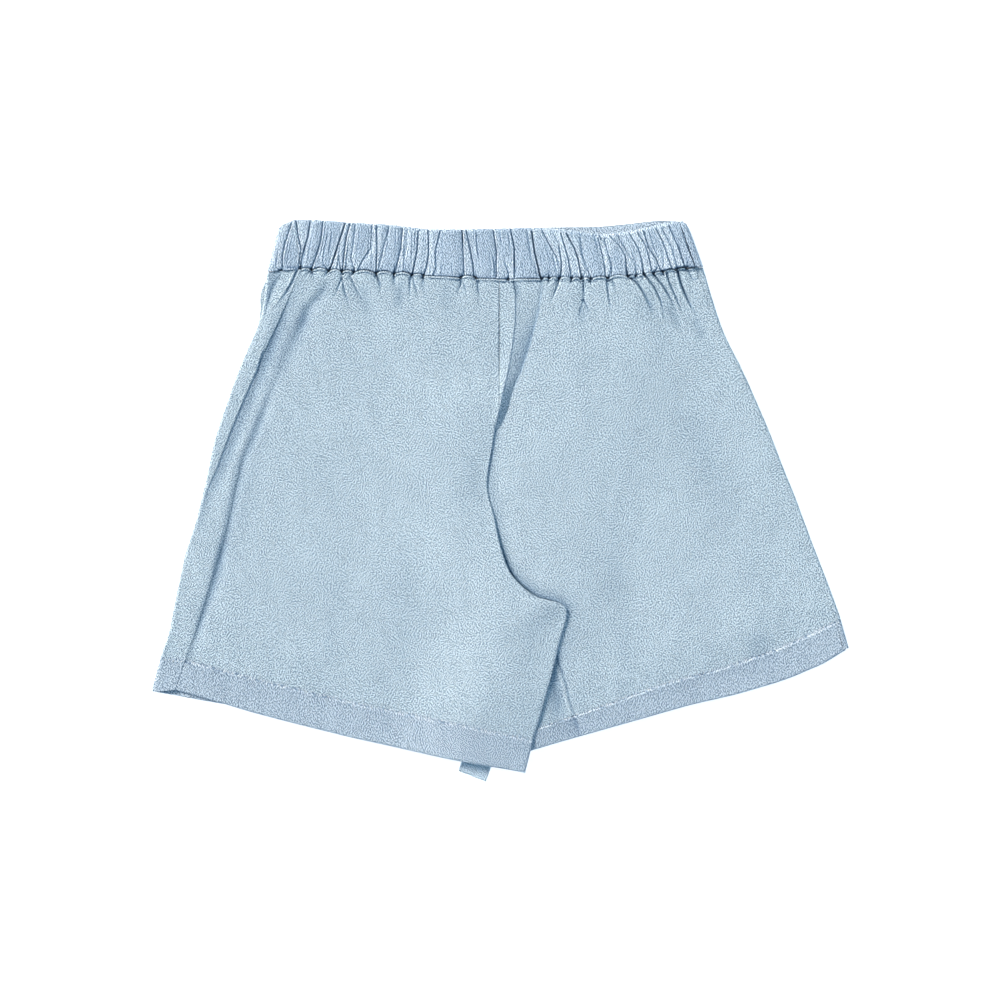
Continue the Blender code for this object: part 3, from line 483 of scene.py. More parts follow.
# Stitches: length, width, height and how far they wander; then the pitch
HEM_STITCH = (1.4, 0.6, 0.4, 0.9)
HEM_STITCH_PITCH = 2.9
HEM_STITCH_ENDS = (0.004, 0.996)
HEM_STITCH_POINTS = 15
STRIP_STITCH_SHARES = (0.12, 0.5, 0.92)
WAIST_STITCH = (0.8, 0.4, 0.15, 0.1)
WAIST_STITCH_PITCH = 1.55
WAIST_STITCH_SPAN = (-43.0, 1.0)
WAIST_STITCH_POINTS = 9
WAIST_STITCH_RISE = 1.9
SIDE_STITCH = (1.7, 0.4, 0.25, 0.1)
SIDE_STITCH_PITCH = 2.3
SIDE_STITCH_RUNS = (((119.6, 176.5), (123.2, 165.5)), ((123.2, 164.5), (127.5, 156.0)))
SIDE_STITCH_SHIFT = 1.6
SIDE_STITCH_TURN = (0.75, 0.66)  # along and across the run
STITCH_TURN = 0.12           # how far a stitch turns, and the range of its size
STITCH_SIZES = (0.85, 1.1)
STITCH_LINE_POINTS = 400
LOOK_DOWN_FROM = 0.1         # height, in metres, from which the cloth under a stitch is found

# Seeds of the random draws
SEED = {"left cloth": 11, "left ripples": 17, "right ripples": 19, "right cloth": 23,
        "flap cloth": 31, "left seam": 31, "right seam": 32, "centre seam": 33,
        "hem puckers": 61, "hem cloth": 62, "front hem": 63, "hem speckle": 64,
        "band edge": 71, "band cloth": 72, "band knots": 74, "band height": 75,
        "fine gathers": 76, "band seam": 77,
        "hem stitches": 91, "waist stitches": 92, "side stitches": 93}

# ---------------------------------------------------------------- light, camera and colour

PHOTO_PIXELS = 1000.0
MM_PER_PIXEL = 0.65
PHOTO_CENTRE_Y = 499.5       # row of the photo that the garment's origin lies on
CAMERA_HEIGHT = 2.6
SENSOR = 36.0
GARMENT_MID_HEIGHT = 0.004

FLOOR_HALF = 3.0
FLOOR_LEVEL = -0.0004
FLOOR_TONES = ((0.90, 0.90, 0.90), (0.93, 0.93, 0.93))
FLOOR_NOISE = (3.0, 2.0)     # scale and detail
FLOOR_FINISH = {"Roughness": 1.0, "Specular IOR Level": 0.0,
                "Emission Color": (1.0, 1.0, 1.0, 1.0), "Emission Strength": 0.7}
SKY_STRENGTH = 0.50
SKY_COLOUR = (0.70, 0.98, 1.22)
KEY_STRENGTH = 4.4
KEY_COLOUR = (1.19, 1.015, 0.86)
KEY_AZIMUTH = 144.0          # degrees from +X to where the light comes from
KEY_ELEVATION = 34.0
KEY_SOFTNESS = 24.0

PANEL_BLUE = (0.405, 0.525, 0.624)
BAND_BLUE = (0.424, 0.543, 0.668)
HEM_BLUE = (0.372, 0.478, 0.590)
# Painted light: the tie is coloured paler than the hem to make up for the hem's shadow on it
TIE_BLUE = (0.505, 0.645, 0.765)
PALE_THREAD = (0.66, 0.71, 0.74)
BLUE_THREAD = (0.10, 0.16, 0.28)
THREAD_SHADES = (0.82, 1.12)
THREAD_NOISE = (2500.0, 1.0)
THREAD_FINISH = {"Roughness": 0.7}
CLOTH_FINISH = {"Roughness": 0.92, "Specular IOR Level": 0.12, "Sheen Weight": 0.12,
                "Sheen Roughness": 0.5}

# The weave: crossings of yarns, how far the dark and pale yarns stand from the colour, and layers
# of unevenness (cycles to the metre across and along, detail, contrast)
YARNS_PER_METRE = 1540.0
CROSSING_CONTRAST = 1.5
YARN_TINTS = ((0.15, 0.22, 0.30), (1.0, 1.0, 1.0), (1.66, 1.54, 1.42))
UNEVENNESS = (
    (1500.0, 300.0, 0.0, 0.12),
    (300.0, 1500.0, 0.0, 0.08),
    (150.0, 36.0, 2.0, 0.19),
    (34.0, 12.0, 2.0, 0.10),
)
LEFT_LEAN = -8.0             # degrees that the left leg's warp leans from straight down
RIGHT_LEAN = 14.0
PAINTED_LIGHT_AND_WEAR_CONTRAST = 0.24
# Tints of the painted light and wear: from painted shade deep in a crease, through plain cloth in
# the middle, to painted highlight on ridges and real worn paleness along hem stitching
PAINTED_LIGHT_AND_WEAR_TINTS = ((0.08, 0.13, 0.19), (0.50, 0.59, 0.69), (1.0, 1.0, 1.0), (1.14, 1.10, 1.07),
              (1.26, 1.20, 1.15))
WEAVE_BUMP = 0.30
WEAVE_DEPTH = 0.00015


# ---------------------------------------------------------------- shapes shared by the plies

def soft_share(share):
    """A share from 0 to 1, eased at both ends."""
    return share * share * (3.0 - 2.0 * share)


def ease(start, end, value):
    """A soft step from 0 at start to 1 at end."""
    return soft_share(np.clip((value - start) / (end - start), 0.0, 1.0))


def bell(distance, width):
    """1 on a line, and softly down to 0 over a few widths."""
    return np.exp(-(distance / width) ** 2)


def ridges(distance, table):
    """Ridges and grooves that run along a line."""
    return sum(height * bell(distance - place, width) for height, place, width in table)


def smooth_points(points, shares):
    """Points at several shares of a smooth curve through a short table of points."""
    table = np.array(points, dtype=float)
    last = len(table) - 1
    extended = np.vstack((2.0 * table[0] - table[1], table, 2.0 * table[last] - table[last - 1]))
    place = np.clip(np.asarray(shares, dtype=float), 0.0, 1.0) * last
    index = np.minimum(place.astype(int), last - 1)
    along = (place - index)[..., None]
    before, near, far, after = (extended[index + step] for step in range(4))
    start_slope = 0.5 * (far - before)
    end_slope = 0.5 * (after - near)
    square = along * along
    cube = square * along
    return ((2.0 * cube - 3.0 * square + 1.0) * near + (cube - 2.0 * square + along) * start_slope
            + (3.0 * square - 2.0 * cube) * far + (cube - square) * end_slope)


def column(stations, index):
    """One column of a leg's table."""
    return [row[index] for row in stations]


def averaged(place, reach, places, values):
    """A value read between the entries of a table, averaged over a reach to both sides."""
    return sum(np.interp(place + step * reach, places, values)
               for step in EASING_STEPS) / len(EASING_STEPS)


def soft_table(table, place):
    """A value read between the rows of a two-column table, with its corners eased."""
    places, values = zip(*table)
    return averaged(place, CORNER_EASE * (places[-1] - places[0]), places, values)


RIGHT_INNER_LINE = smooth_points(column(RIGHT_LEG, BACK_INNER) + [RIGHT_HEM[2]], LINE_SHARES)
LEFT_INNER_LINE = smooth_points(column(LEFT_LEG, BACK_INNER) + [LEFT_HEM[2]], LINE_SHARES)
TIE_LINE = smooth_points(TIE_ROUTE, LINE_SHARES)
FLAP_HEM_LINE = smooth_points(FLAP_HEM, LINE_SHARES)
FLAP_FREE_LINE = smooth_points(FLAP_FREE, LINE_SHARES)


def over_tie(x, y):
    """How high the cloth stands over the tie."""
    distance = np.full(np.shape(x), FAR)
    for tie_x, tie_y in TIE_LINE:
        distance = np.minimum(distance, np.hypot(x - tie_x, y - tie_y))
    level_edge = TIE_WIDTH / 2.0 + TIE_MARGIN
    return TIE_LIFT * (1.0 - ease(level_edge, level_edge + TIE_STEP, distance))


def over_flap(x, y):
    """How high the shorts stand over the front flap."""
    hem_y = np.interp(x, FLAP_HEM_LINE[:, 0], FLAP_HEM_LINE[:, 1])
    free_x = np.interp(-y, -FLAP_FREE_LINE[:, 1], FLAP_FREE_LINE[:, 0])
    above_hem = ease(hem_y - FLAP_MARGIN - FLAP_STEP, hem_y - FLAP_MARGIN, y)
    past_edge = ease(free_x + FLAP_MARGIN, free_x + FLAP_MARGIN + FLAP_STEP, x)
    return LAYER * above_hem * (1.0 - past_edge)


def shorts_floor(x, y):
    """Height of the lowest ply of the shorts, and so the underside of the right front."""
    return over_tie(x, y) + over_flap(x, y)


def climb(x, y, lead=0.0, softness=0.0, step=OVERLAP_STEP):
    """Share of the climb onto the right leg, across the garment."""
    line = RIGHT_INNER_LINE[::-1]
    edge = averaged(y, softness, line[:, 1], line[:, 0]) - OVERLAP_MARGIN - lead
    return ease(edge - step, edge, x)


def top_climb(x, y):
    """The softer climb of the left back, which is the top ply."""
    return climb(x, y, BACK_LEAD, TOP_CLIMB_SOFTNESS, TOP_CLIMB_STEP)


def past_join(y):
    """0 where the backs lie side by side, 1 where the left back lies over the right one."""
    return 1.0 - ease(JOIN_Y, JOIN_Y + JOIN_RUN, y)


def past_crotch(y, lead=0.0, run=CROTCH_RUN):
    """0 in the seat, 1 in the legs, where both left plies lie over both right plies."""
    full = CROTCH_Y + CROTCH_MARGIN + lead
    return 1.0 - ease(full, full + run, y)


def back_right_height(x, y):
    """Top of the right back, before its creases."""
    return shorts_floor(x, y) + LAYER + CLOTH


def front_left_height(x, y):
    """Underside of the left front, which climbs onto the right leg below the crotch."""
    return shorts_floor(x, y) + 2.0 * LAYER * climb(x, y) * past_crotch(y)


def back_left_height(x, y):
    """Top of the left back, before its creases."""
    over_crotch = past_crotch(y, BACK_LEAD, TOP_CROTCH_RUN)
    lift = LAYER * top_climb(x, y) * (past_join(y) + over_crotch)
    return shorts_floor(x, y) + LAYER + CLOTH + lift


# ---------------------------------------------------------------- relief

def value_noise(x, y, size, seed):
    """Smooth noise between -1 and 1 with features of one size."""
    lattice = np.random.default_rng(seed).uniform(-1.0, 1.0, (NOISE_CELLS, NOISE_CELLS))
    column_place = x / size + NOISE_SHIFT
    row_place = y / size + NOISE_SHIFT
    column_index = np.floor(column_place).astype(int)
    row_index = np.floor(row_place).astype(int)
    across = soft_share(column_place - column_index)
    down = soft_share(row_place - row_index)
    left = column_index % NOISE_CELLS
    right = (column_index + 1) % NOISE_CELLS
    low = row_index % NOISE_CELLS
    high = (row_index + 1) % NOISE_CELLS
    lower = lattice[low, left] * (1.0 - across) + lattice[low, right] * across
    upper = lattice[high, left] * (1.0 - across) + lattice[high, right] * across
    return lower * (1.0 - down) + upper * down


def waves(x, y, table, seed):
    """Smooth waves of several sizes."""
    return sum(height * value_noise(across * x, along * y, size, seed + index)
               for index, (height, across, along, size) in enumerate(table))


def line_field(x, y, points):
    """Distance from a line of points, which side it is on (1 right, -1 left) and its share."""
    table = np.array(points, dtype=float)
    lengths = np.hypot(*(table[1:] - table[:-1]).T)
    starts = np.concatenate(((0.0,), np.cumsum(lengths)))
    best = np.full(np.shape(x), FAR)
    side = np.zeros(np.shape(x))
    share = np.zeros(np.shape(x))
    for index, length in enumerate(lengths):
        run = (table[index + 1] - table[index]) / length
        away_x = x - table[index, 0]
        away_y = y - table[index, 1]
        along = np.clip(away_x * run[0] + away_y * run[1], 0.0, length)
        distance = np.hypot(away_x - run[0] * along, away_y - run[1] * along)
        nearer = distance < best
        best = np.where(nearer, distance, best)
        side = np.where(nearer, np.sign(run[0] * away_y - run[1] * away_x), side)
        share = np.where(nearer, (starts[index] + along) / starts[-1], share)
    return best, side, share


def fold(distance, side, depth, width, crest_side, crest_reach):
    """A sharp groove with a crest on one side of it."""
    crest = bell(distance * side - crest_side * crest_reach, CREST_WIDTH * crest_reach)
    return depth * (CREST_HEIGHT * crest - bell(distance, width))


def crease(x, y, form, depth, width, points):
    """Relief of one crease, which fades towards its end."""
    distance, side, share = line_field(x, y, points)
    if form == "trough":
        fade = ease(*TROUGH_START, share) * (1.0 - TROUGH_LOSS * ease(*TROUGH_FADE, share))
        return -depth * fade * bell(distance, width)
    fade = 1.0 - LINE_LOSS * ease(*LINE_FADE, share)
    if form == "groove":
        return -depth * fade * bell(distance, SHARPNESS * width)
    crest_side = -1.0 if form == "left fold" else 1.0
    return fade * fold(distance, side, depth, SHARPNESS * width, crest_side, width + CREST_GAP)


def creases(x, y, table):
    """Relief and shade of a table of creases. Sharp ones hold more shade than soft ones."""
    relief = np.zeros(np.shape(x))
    shade = np.zeros(np.shape(x))
    for form, depth, width, points in table:
        line = crease(x, y, form, depth, width, points)
        relief += line if form == "trough" else LINE_RELIEF * line
        shade += TROUGH_SHADE * line if form == "trough" else LINE_SHADE * line
    return relief, shade


def waist_y(x):
    """Y of the seam between the waistband and the legs, before its arches."""
    left = [LEFT_LEG[0][place] for place in (OUTER, SEAM, BACK_INNER)]
    turn, seam, inner = (np.array(RIGHT_LEG[0][place]) for place in (OUTER, SEAM, BACK_INNER))
    shares = np.linspace(0.0, 1.0, WAIST_POINTS)
    right = inner + (seam - inner) * shares[:, None]
    right[:, 1] -= soft_table(WAIST_SAG_RIGHT, shares)
    line = np.concatenate((left, right, [turn]))
    return np.interp(x, line[:, 0], line[:, 1])


def seam_arch(x):
    """How far the waist seam arches up between the knots beside it."""
    knots = np.array(SEAM_KNOTS)
    index = np.clip(np.searchsorted(knots, x) - 1, 0, len(knots) - 2)
    gap = knots[index + 1] - knots[index]
    share = np.clip((x - knots[index]) / gap, 0.0, 1.0)
    rise = np.minimum(ARCH_SLOPE * gap, ARCH_RISE) * (1.0 - ease(*FLAT_GAPS, gap)) + ARCH_BASE
    return rise * (1.0 - (2.0 * share - 1.0) ** 2)


def knot_lines(x, y, upward, seed):
    """Pits where the gathers are caught in the waist seam, and short fine creases from them."""
    chance = np.random.default_rng(seed)
    total = np.zeros(np.shape(x))
    for knot_x in SEAM_KNOTS:
        knot_y = waist_y(knot_x)
        total -= KNOT_DEPTH * bell(np.hypot(x - knot_x, y - knot_y), KNOT_RADIUS)
        for _ray in range(KNOT_RAYS):
            lean = chance.uniform(-RAY_LEAN, RAY_LEAN)
            length = chance.uniform(*RAY_LENGTHS)
            tip = (knot_x + length * math.sin(lean), knot_y + upward * length * math.cos(lean))
            distance, _side, share = line_field(x, y, ((knot_x, knot_y), tip))
            total -= chance.uniform(*RAY_DEPTHS) * (1.0 - share) * bell(distance, RAY_WIDTH)
    return total


def fine_gathers(x, y, seed):
    """Short faint folds between the band's gathers, leaning as the gathers do there."""
    chance = np.random.default_rng(seed)
    total = np.zeros(np.shape(x))
    for even_x in np.linspace(*FINE_GATHER_SPAN, FINE_GATHERS):
        start_x = even_x + chance.uniform(-FINE_JITTER, FINE_JITTER)
        lean = FINE_LEAN[0] + FINE_LEAN[1] * start_x / FINE_GATHER_SPAN[1]
        length = chance.uniform(*FINE_LENGTHS)
        top_y = FINE_TOP if chance.uniform() < 0.5 else FINE_LOW + length
        bend = chance.uniform(-FINE_BEND, FINE_BEND)
        middle = (start_x + 0.5 * lean * length + bend, top_y - 0.5 * length)
        points = ((start_x, top_y), middle, (start_x + lean * length, top_y - length))
        distance, side, share = line_field(x, y, points)
        depth = chance.uniform(*FINE_DEPTHS)
        crest_side = chance.choice((-1.0, 1.0))
        ends = ease(*FINE_START, share) * (1.0 - ease(*FINE_END, share))
        total += ends * fold(distance, side, depth, FINE_WIDTH, crest_side, FINE_CREST)
    return total


def seam_depth_factor(x, y, seed):
    """How the depth of the waist seam varies along it, in relief and in its painted shade."""
    return 1.0 + waves(x, y, SEAM_DEPTH_WAVES, seed)


def panel_lines(x, y, table, seed):
    """Relief and shade of a back panel: its creases and puffs, and the edge of the waist seam."""
    drop = waist_y(x) + seam_arch(x) - y
    sharp = ridges(drop, PANEL_SEAM_RIDGES) * seam_depth_factor(x, y, seed) + knot_lines(x, y, -1.0, seed)
    nearest = np.full(np.shape(x), FAR)
    for knot_x in SEAM_KNOTS:
        nearest = np.minimum(nearest, np.hypot(x - knot_x, y - waist_y(knot_x)))
    for form, _depth, _width, points in table:
        if form != "trough" and points[0][1] > WAIST_CREASE_Y:
            nearest = np.minimum(nearest, line_field(x, y, points)[0])
    height, across, down = PANEL_PUFF
    puff = height * (1.0 - np.exp(-nearest / across)) * bell(drop, down)
    relief, shade = creases(x, y, table)
    return relief + LINE_RELIEF * sharp + puff, shade + sharp


def band_relief(x, y):
    """Relief and shade of the gathered waistband: its sharp folds, slabs, puffs and lower edge."""
    sharp = np.zeros(np.shape(x))
    left_gap = np.full(np.shape(x), WIDEST_SLAB)
    right_gap = np.full(np.shape(x), WIDEST_SLAB)
    for strength, crest_side, points in BAND_GATHERS:
        depth, width = GATHER_SHAPES[strength]
        distance, side, _share = line_field(x, y, points)
        sharp += fold(distance, side, depth, width, crest_side, GATHER_CREST)
        left_gap = np.where(side > 0.0, np.minimum(left_gap, distance), left_gap)
        right_gap = np.where(side < 0.0, np.minimum(right_gap, distance), right_gap)
    sharp += fine_gathers(x, y, SEED["fine gathers"])
    rise = y - waist_y(x) - seam_arch(x)
    knots = knot_lines(x, y, 1.0, SEED["band knots"])
    sharp += knots + seam_depth_factor(x, y, SEED["band seam"]) * ridges(rise, BAND_SEAM_RIDGES)
    height, across, depth = BAND_PUFF
    puff = height * (1.0 - np.exp(-np.minimum(left_gap, right_gap) / across)) - depth
    # Painted light: narrow pleats drawn paler than wide ones
    slab = 0.5 - ease(*SLAB_WIDTHS, left_gap + right_gap)
    relief = BAND_LINE_RELIEF * sharp + puff + waves(x, y, BAND_WAVES, SEED["band cloth"])
    return relief, sharp + SLAB_SHADE * slab


def soft_unevenness(x, y, seed):
    """Slight waviness of cloth that has been worn and laid down, drawn out along the warp."""
    return waves(x, y, CLOTH_WAVES, seed)


def hem_ripples(x, y, full_y, seed):
    """Fine upright ripples that grow towards the hem."""
    near_hem = np.exp(-np.maximum(y - full_y, 0.0) / RIPPLES_FADE)
    return near_hem * waves(x, y, LEG_RIPPLES, seed)


def edge_roll(distance, radius):
    """How far cloth curls down near its edge, for a distance in from the edge."""
    inward = np.clip(distance / radius, 0.0, 1.0)
    return -radius * (1.0 - np.sqrt(1.0 - (1.0 - inward) ** 2))


# ---------------------------------------------------------------- meshes

def edge_shares(count, crowding=EDGE_CROWDING):
    """Shares from 0 to 1 that stand closer at both ends."""
    even = np.linspace(0.0, 1.0, count + 1)
    return even - crowding * np.sin(2.0 * np.pi * even)


def waist_shares(count):
    """Shares from 0 to 1 that stand closer at the start, where the gathers are."""
    even = np.linspace(0.0, 1.0, count + 1)
    return (1.0 - WAIST_CROWDING) * even + WAIST_CROWDING * even * even


def skin_normals(points):
    """Upward normals of a grid of points whose rows run down and columns run right."""
    down_run = np.gradient(points, axis=0)
    across_run = np.gradient(points, axis=1)
    normals = np.cross(down_run, across_run)
    return normals / np.maximum(np.linalg.norm(normals, axis=2, keepdims=True), TINY)


def grid_faces(index):
    """Four-sided faces between the vertices of a grid."""
    corners = (index[:-1, :-1], index[1:, :-1], index[1:, 1:], index[:-1, 1:])
    return np.stack(corners, -1).reshape(-1, 4)


def lowest_near(heights, reach):
    """The lowest height within some rows and columns of each place of a grid."""
    padded = np.pad(heights, reach, mode="edge")
    rows, columns = heights.shape
    lowest = heights
    for down in range(2 * reach + 1):
        for across in range(2 * reach + 1):
            lowest = np.minimum(lowest, padded[down:down + rows, across:across + columns])
    return lowest


def rim_faces(skin, lining, picks, flip=False):
    """Faces from the edge of the fine skin to that of its lining, which has every few points."""
    faces = []
    for index, (start, end) in enumerate(zip(picks[:-1], picks[1:])):
        face = [*skin[start:end + 1].tolist(), int(lining[index + 1]), int(lining[index])]
        faces.append(face[::-1] if flip else face)
    return faces


def placed(name, data):
    """A new object in the scene."""
    piece = bpy.data.objects.new(name, data)
    bpy.context.scene.collection.objects.link(piece)
    return piece


def shell(name, node, points, wall, material, wear, step=1, flip=False):
    """A closed thin shell below a grid of points, standing for a CAD node.

    Its lining follows the skin's normals, or is a coarser grid under the skin's lowest points.
    """
    if flip:
        points = points[:, ::-1]
        wear = wear[:, ::-1]
    rows, columns = points.shape[:2]
    down_picks = [*range(0, rows - 1, step), rows - 1]
    across_picks = [*range(0, columns - 1, step), columns - 1]
    picks = np.ix_(down_picks, across_picks)
    if step > 1:
        lining = stack(points[..., 0], points[..., 1], lowest_near(points[..., 2], step) - wall)
    else:
        lining = points - skin_normals(points) * wall
    lining = lining[picks]
    verts = np.concatenate((points.reshape(-1, 3), lining.reshape(-1, 3))) * MM
    skin = np.arange(rows * columns).reshape(rows, columns)
    under = (rows * columns + np.arange(lining.shape[0] * lining.shape[1])).reshape(
        lining.shape[:2])
    faces = grid_faces(skin).tolist() + grid_faces(under)[:, ::-1].tolist()
    faces += rim_faces(skin[0], under[0], across_picks)
    faces += rim_faces(skin[-1], under[-1], across_picks, flip=True)
    faces += rim_faces(skin[:, 0], under[:, 0], down_picks, flip=True)
    faces += rim_faces(skin[:, -1], under[:, -1], down_picks)
    mesh = bpy.data.meshes.new(name)
    mesh.from_pydata(verts.tolist(), [], faces)
    # The per-point tone holds painted shade in creases, seams and beside raised edges, painted
    # highlight on crests, and the real paleness of wear along hem stitching
    tone = np.concatenate((wear.reshape(-1), wear[picks].reshape(-1)))
    mesh.attributes.new("wear", "FLOAT", "POINT").data.foreach_set("value", tone.astype(np.float32))
    mesh.materials.append(material)
    mesh.shade_smooth()
    mesh.set_sharp_from_angle(angle=math.radians(SHARP_ANGLE))
    piece = placed(name, mesh)
    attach(piece, "root")
    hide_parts(node)
    return piece


def leg_rows(inner, outer, sag, downs, shares):
    """A grid of x and y between an inner and an outer edge, with sagging rows."""
    grid = inner[:, None, :] + (outer - inner)[:, None, :] * shares[None, :, None]
    return grid[..., 0], grid[..., 1] - sag(downs[:, None], shares[None, :])


def panel_sag(waist_table, stitch_table):
    """Sag of a leg panel's rows."""
    def sag(down, share):
        return (soft_table(waist_table, share) * (1.0 - down) ** 2
                + soft_table(stitch_table, share) * down ** 3)
    return sag


def hem_sag(stitch_table, hem_table):
    """Sag of a hem's rows."""
    def sag(down, share):
        return (soft_table(stitch_table, share) * (1.0 - down)
                + soft_table(hem_table, share) * down)
    return sag


def stack(x, y, z):
    """Points from three grids."""
    return np.stack(np.broadcast_arrays(x, y, z), axis=-1)


def wrapped_grid(inner, outer, seam, sag, downs, height, full_height, relief):
    """A front ply: out along the underside, round the side fold, in to the seam on the back."""
    radius = full_height / 2.0
    outward = outer - inner
    outward = outward / np.linalg.norm(outward, axis=1, keepdims=True)
    turn = outer - outward * radius
    x, y = leg_rows(inner, turn, sag, downs, np.linspace(0.0, 1.0, UNDERSIDE_COLUMNS))
    under = stack(x, y, height(x, y))
    angles = np.linspace(0.0, math.pi, TURN_POINTS)[1:-1]
    fold_out = turn[:, None, :] + outward[:, None, :] * radius * np.sin(angles)[None, :, None]
    fold_z = height(*turn.T)[:, None] + radius * (1.0 - np.cos(angles))[None, :]
    end = seam + outward * SEAM_GAP
    shares = edge_shares(STRIP_COLUMNS, STRIP_CROWDING)
    strip = turn[:, None, :] + (end - turn)[:, None, :] * shares[None, :, None]
    strip_x = strip[..., 0]
    strip_y = strip[..., 1]
    strip_width = np.linalg.norm(end - turn, axis=1)[:, None]
    strip_relief, strip_shade = relief(strip_x, strip_y, (1.0 - shares)[None, :] * strip_width)
    strip_relief = strip_relief * ease(0.0, FOLD_OUT_RUN, shares[None, :] * strip_width)
    strip_z = height(strip_x, strip_y) + full_height + strip_relief
    points = np.concatenate((under, stack(fold_out[..., 0], fold_out[..., 1], fold_z),
                             stack(strip_x, strip_y, strip_z)), axis=1)
    flat = np.zeros((len(downs), x.shape[1] + len(angles)))
    return points, np.concatenate((flat, strip_shade), axis=1)


# ---------------------------------------------------------------- materials

def new_material(name, finish):
    """A node material, its shader, a helper that adds linked nodes, and its links."""
    material = bpy.data.materials.new(name)
    material.use_nodes = True
    nodes = material.node_tree.nodes
    links = material.node_tree.links
    shader = nodes["Principled BSDF"]
    for socket, value in finish.items():
        shader.inputs[socket].default_value = value

    def add(kind, settings=None, numbered=(), **named):
        node = nodes.new(kind)
        for key, value in (settings or {}).items():
            setattr(node, key, value)
        for place, value in [*enumerate(numbered), *named.items()]:
            if isinstance(value, bpy.types.NodeSocket):
                links.new(value, node.inputs[place])
            else:
                node.inputs[place].default_value = value
        return node
    return material, shader, add, links


def ramp(add, value, colours):
    """A colour that runs through evenly spaced colours as a value goes from 0 to 1."""
    node = add("ShaderNodeValToRGB", None, Fac=value)
    stops = node.color_ramp.elements
    stops[0].color = (*colours[0], 1.0)
    stops[1].color = (*colours[-1], 1.0)
    for place, colour in zip(np.linspace(0.0, 1.0, len(colours))[1:-1], colours[1:-1]):
        stops.new(place).color = (*colour, 1.0)
    return node.outputs["Color"]


def mottled(name, colours, noise, finish):
    """A plain material between two tones."""
    material, shader, add, links = new_material(name, finish)
    place = add("ShaderNodeTexCoord").outputs["Object"]
    scale, detail = noise
    tone = add("ShaderNodeTexNoise", None, Vector=place, Scale=scale, Detail=detail).outputs[0]
    links.new(ramp(add, tone, colours), shader.inputs["Base Color"])
    return material


def chambray(name, colour, lean=0.0):
    """Light denim: blue warp and white weft, slubs, streaks, soft fading, painted shade and
    highlight, and worn stitching.
    """
    material, shader, add, links = new_material(name, CLOTH_FINISH)
    straight = add("ShaderNodeTexCoord").outputs["Object"]
    place = add("ShaderNodeMapping", None, Vector=straight,
                Rotation=(0.0, 0.0, math.radians(lean))).outputs[0]

    def combine(operation, first, second, clamp=False):
        settings = {"operation": operation, "use_clamp": clamp}
        return add("ShaderNodeMath", settings, (first, second)).outputs[0]

    def layer(total, value, strength):
        centred = combine("SUBTRACT", value, 0.5)
        return combine("ADD", total, combine("MULTIPLY", centred, strength))

    def noise(scale_x, scale_y, detail):
        stretched = add("ShaderNodeMapping", None, Vector=place, Scale=(scale_x, scale_y, 1.0))
        return add("ShaderNodeTexNoise", {"noise_dimensions": "2D"}, Vector=stretched.outputs[0],
                   Scale=1.0, Detail=detail).outputs[0]

    def crossing(across, along):
        moved = add("ShaderNodeMapping", None, Vector=place, Location=(across, along, 0.0),
                    Scale=(YARNS_PER_METRE, YARNS_PER_METRE, 1.0)).outputs[0]
        cell = add("ShaderNodeVectorMath", {"operation": "FLOOR"}, (moved,)).outputs[0]
        return add("ShaderNodeTexWhiteNoise", {"noise_dimensions": "2D"}, Vector=cell).outputs[0]

    total = layer(0.5, crossing(0.0, 0.0), CROSSING_CONTRAST)
    neighbours = ((-1.0, 0.0), (1.0, 0.0), (0.0, -1.0), (0.0, 1.0))
    for across, along in neighbours:
        total = layer(total, crossing(across, along), -CROSSING_CONTRAST / len(neighbours))
    for scale_x, scale_y, detail, strength in UNEVENNESS:
        total = layer(total, noise(scale_x, scale_y, detail), strength)
    # Painted shade and highlight from each shell's per-point tone, with the real wear along hem
    # stitching, darken or pale the weave's colour
    wear = add("ShaderNodeAttribute", {"attribute_name": "wear"}).outputs["Fac"]
    tone_shift = combine("ADD", 0.5, combine("MULTIPLY", wear, PAINTED_LIGHT_AND_WEAR_CONTRAST), True)
    yarns = [[value * share for value, share in zip(colour, tint)] for tint in YARN_TINTS]
    shaded = add("ShaderNodeVectorMath", {"operation": "MULTIPLY"},
                 (ramp(add, total, yarns), ramp(add, tone_shift, PAINTED_LIGHT_AND_WEAR_TINTS))).outputs[0]
    links.new(shaded, shader.inputs["Base Color"])
    bump = add("ShaderNodeBump", None, Strength=WEAVE_BUMP, Distance=WEAVE_DEPTH, Height=total)
    links.new(bump.outputs[0], shader.inputs["Normal"])
    return material


def thread(name, colour):
    """Sewing thread."""
    shades = [[share * value for value in colour] for share in THREAD_SHADES]
    return mottled(name, shades, THREAD_NOISE, THREAD_FINISH)


# ---------------------------------------------------------------- pieces

def folded(y):
    """1 where the left back's inner edge is folded, 0 where it is stitched to the right back."""
    return 1.0 - ease(*SEAT_FOLD, y)


def fold_press(y, from_inner):
    """How far the left back is pressed down near its inner edge."""
    places, depths, *_shades = zip(*FOLD_EDGE)
    reach = PRESS_REACH + PRESS_REACH_GAIN * (1.0 - ease(*PRESS_LEG, y))
    return -np.interp(y, places, depths) * folded(y) * bell(from_inner, reach)


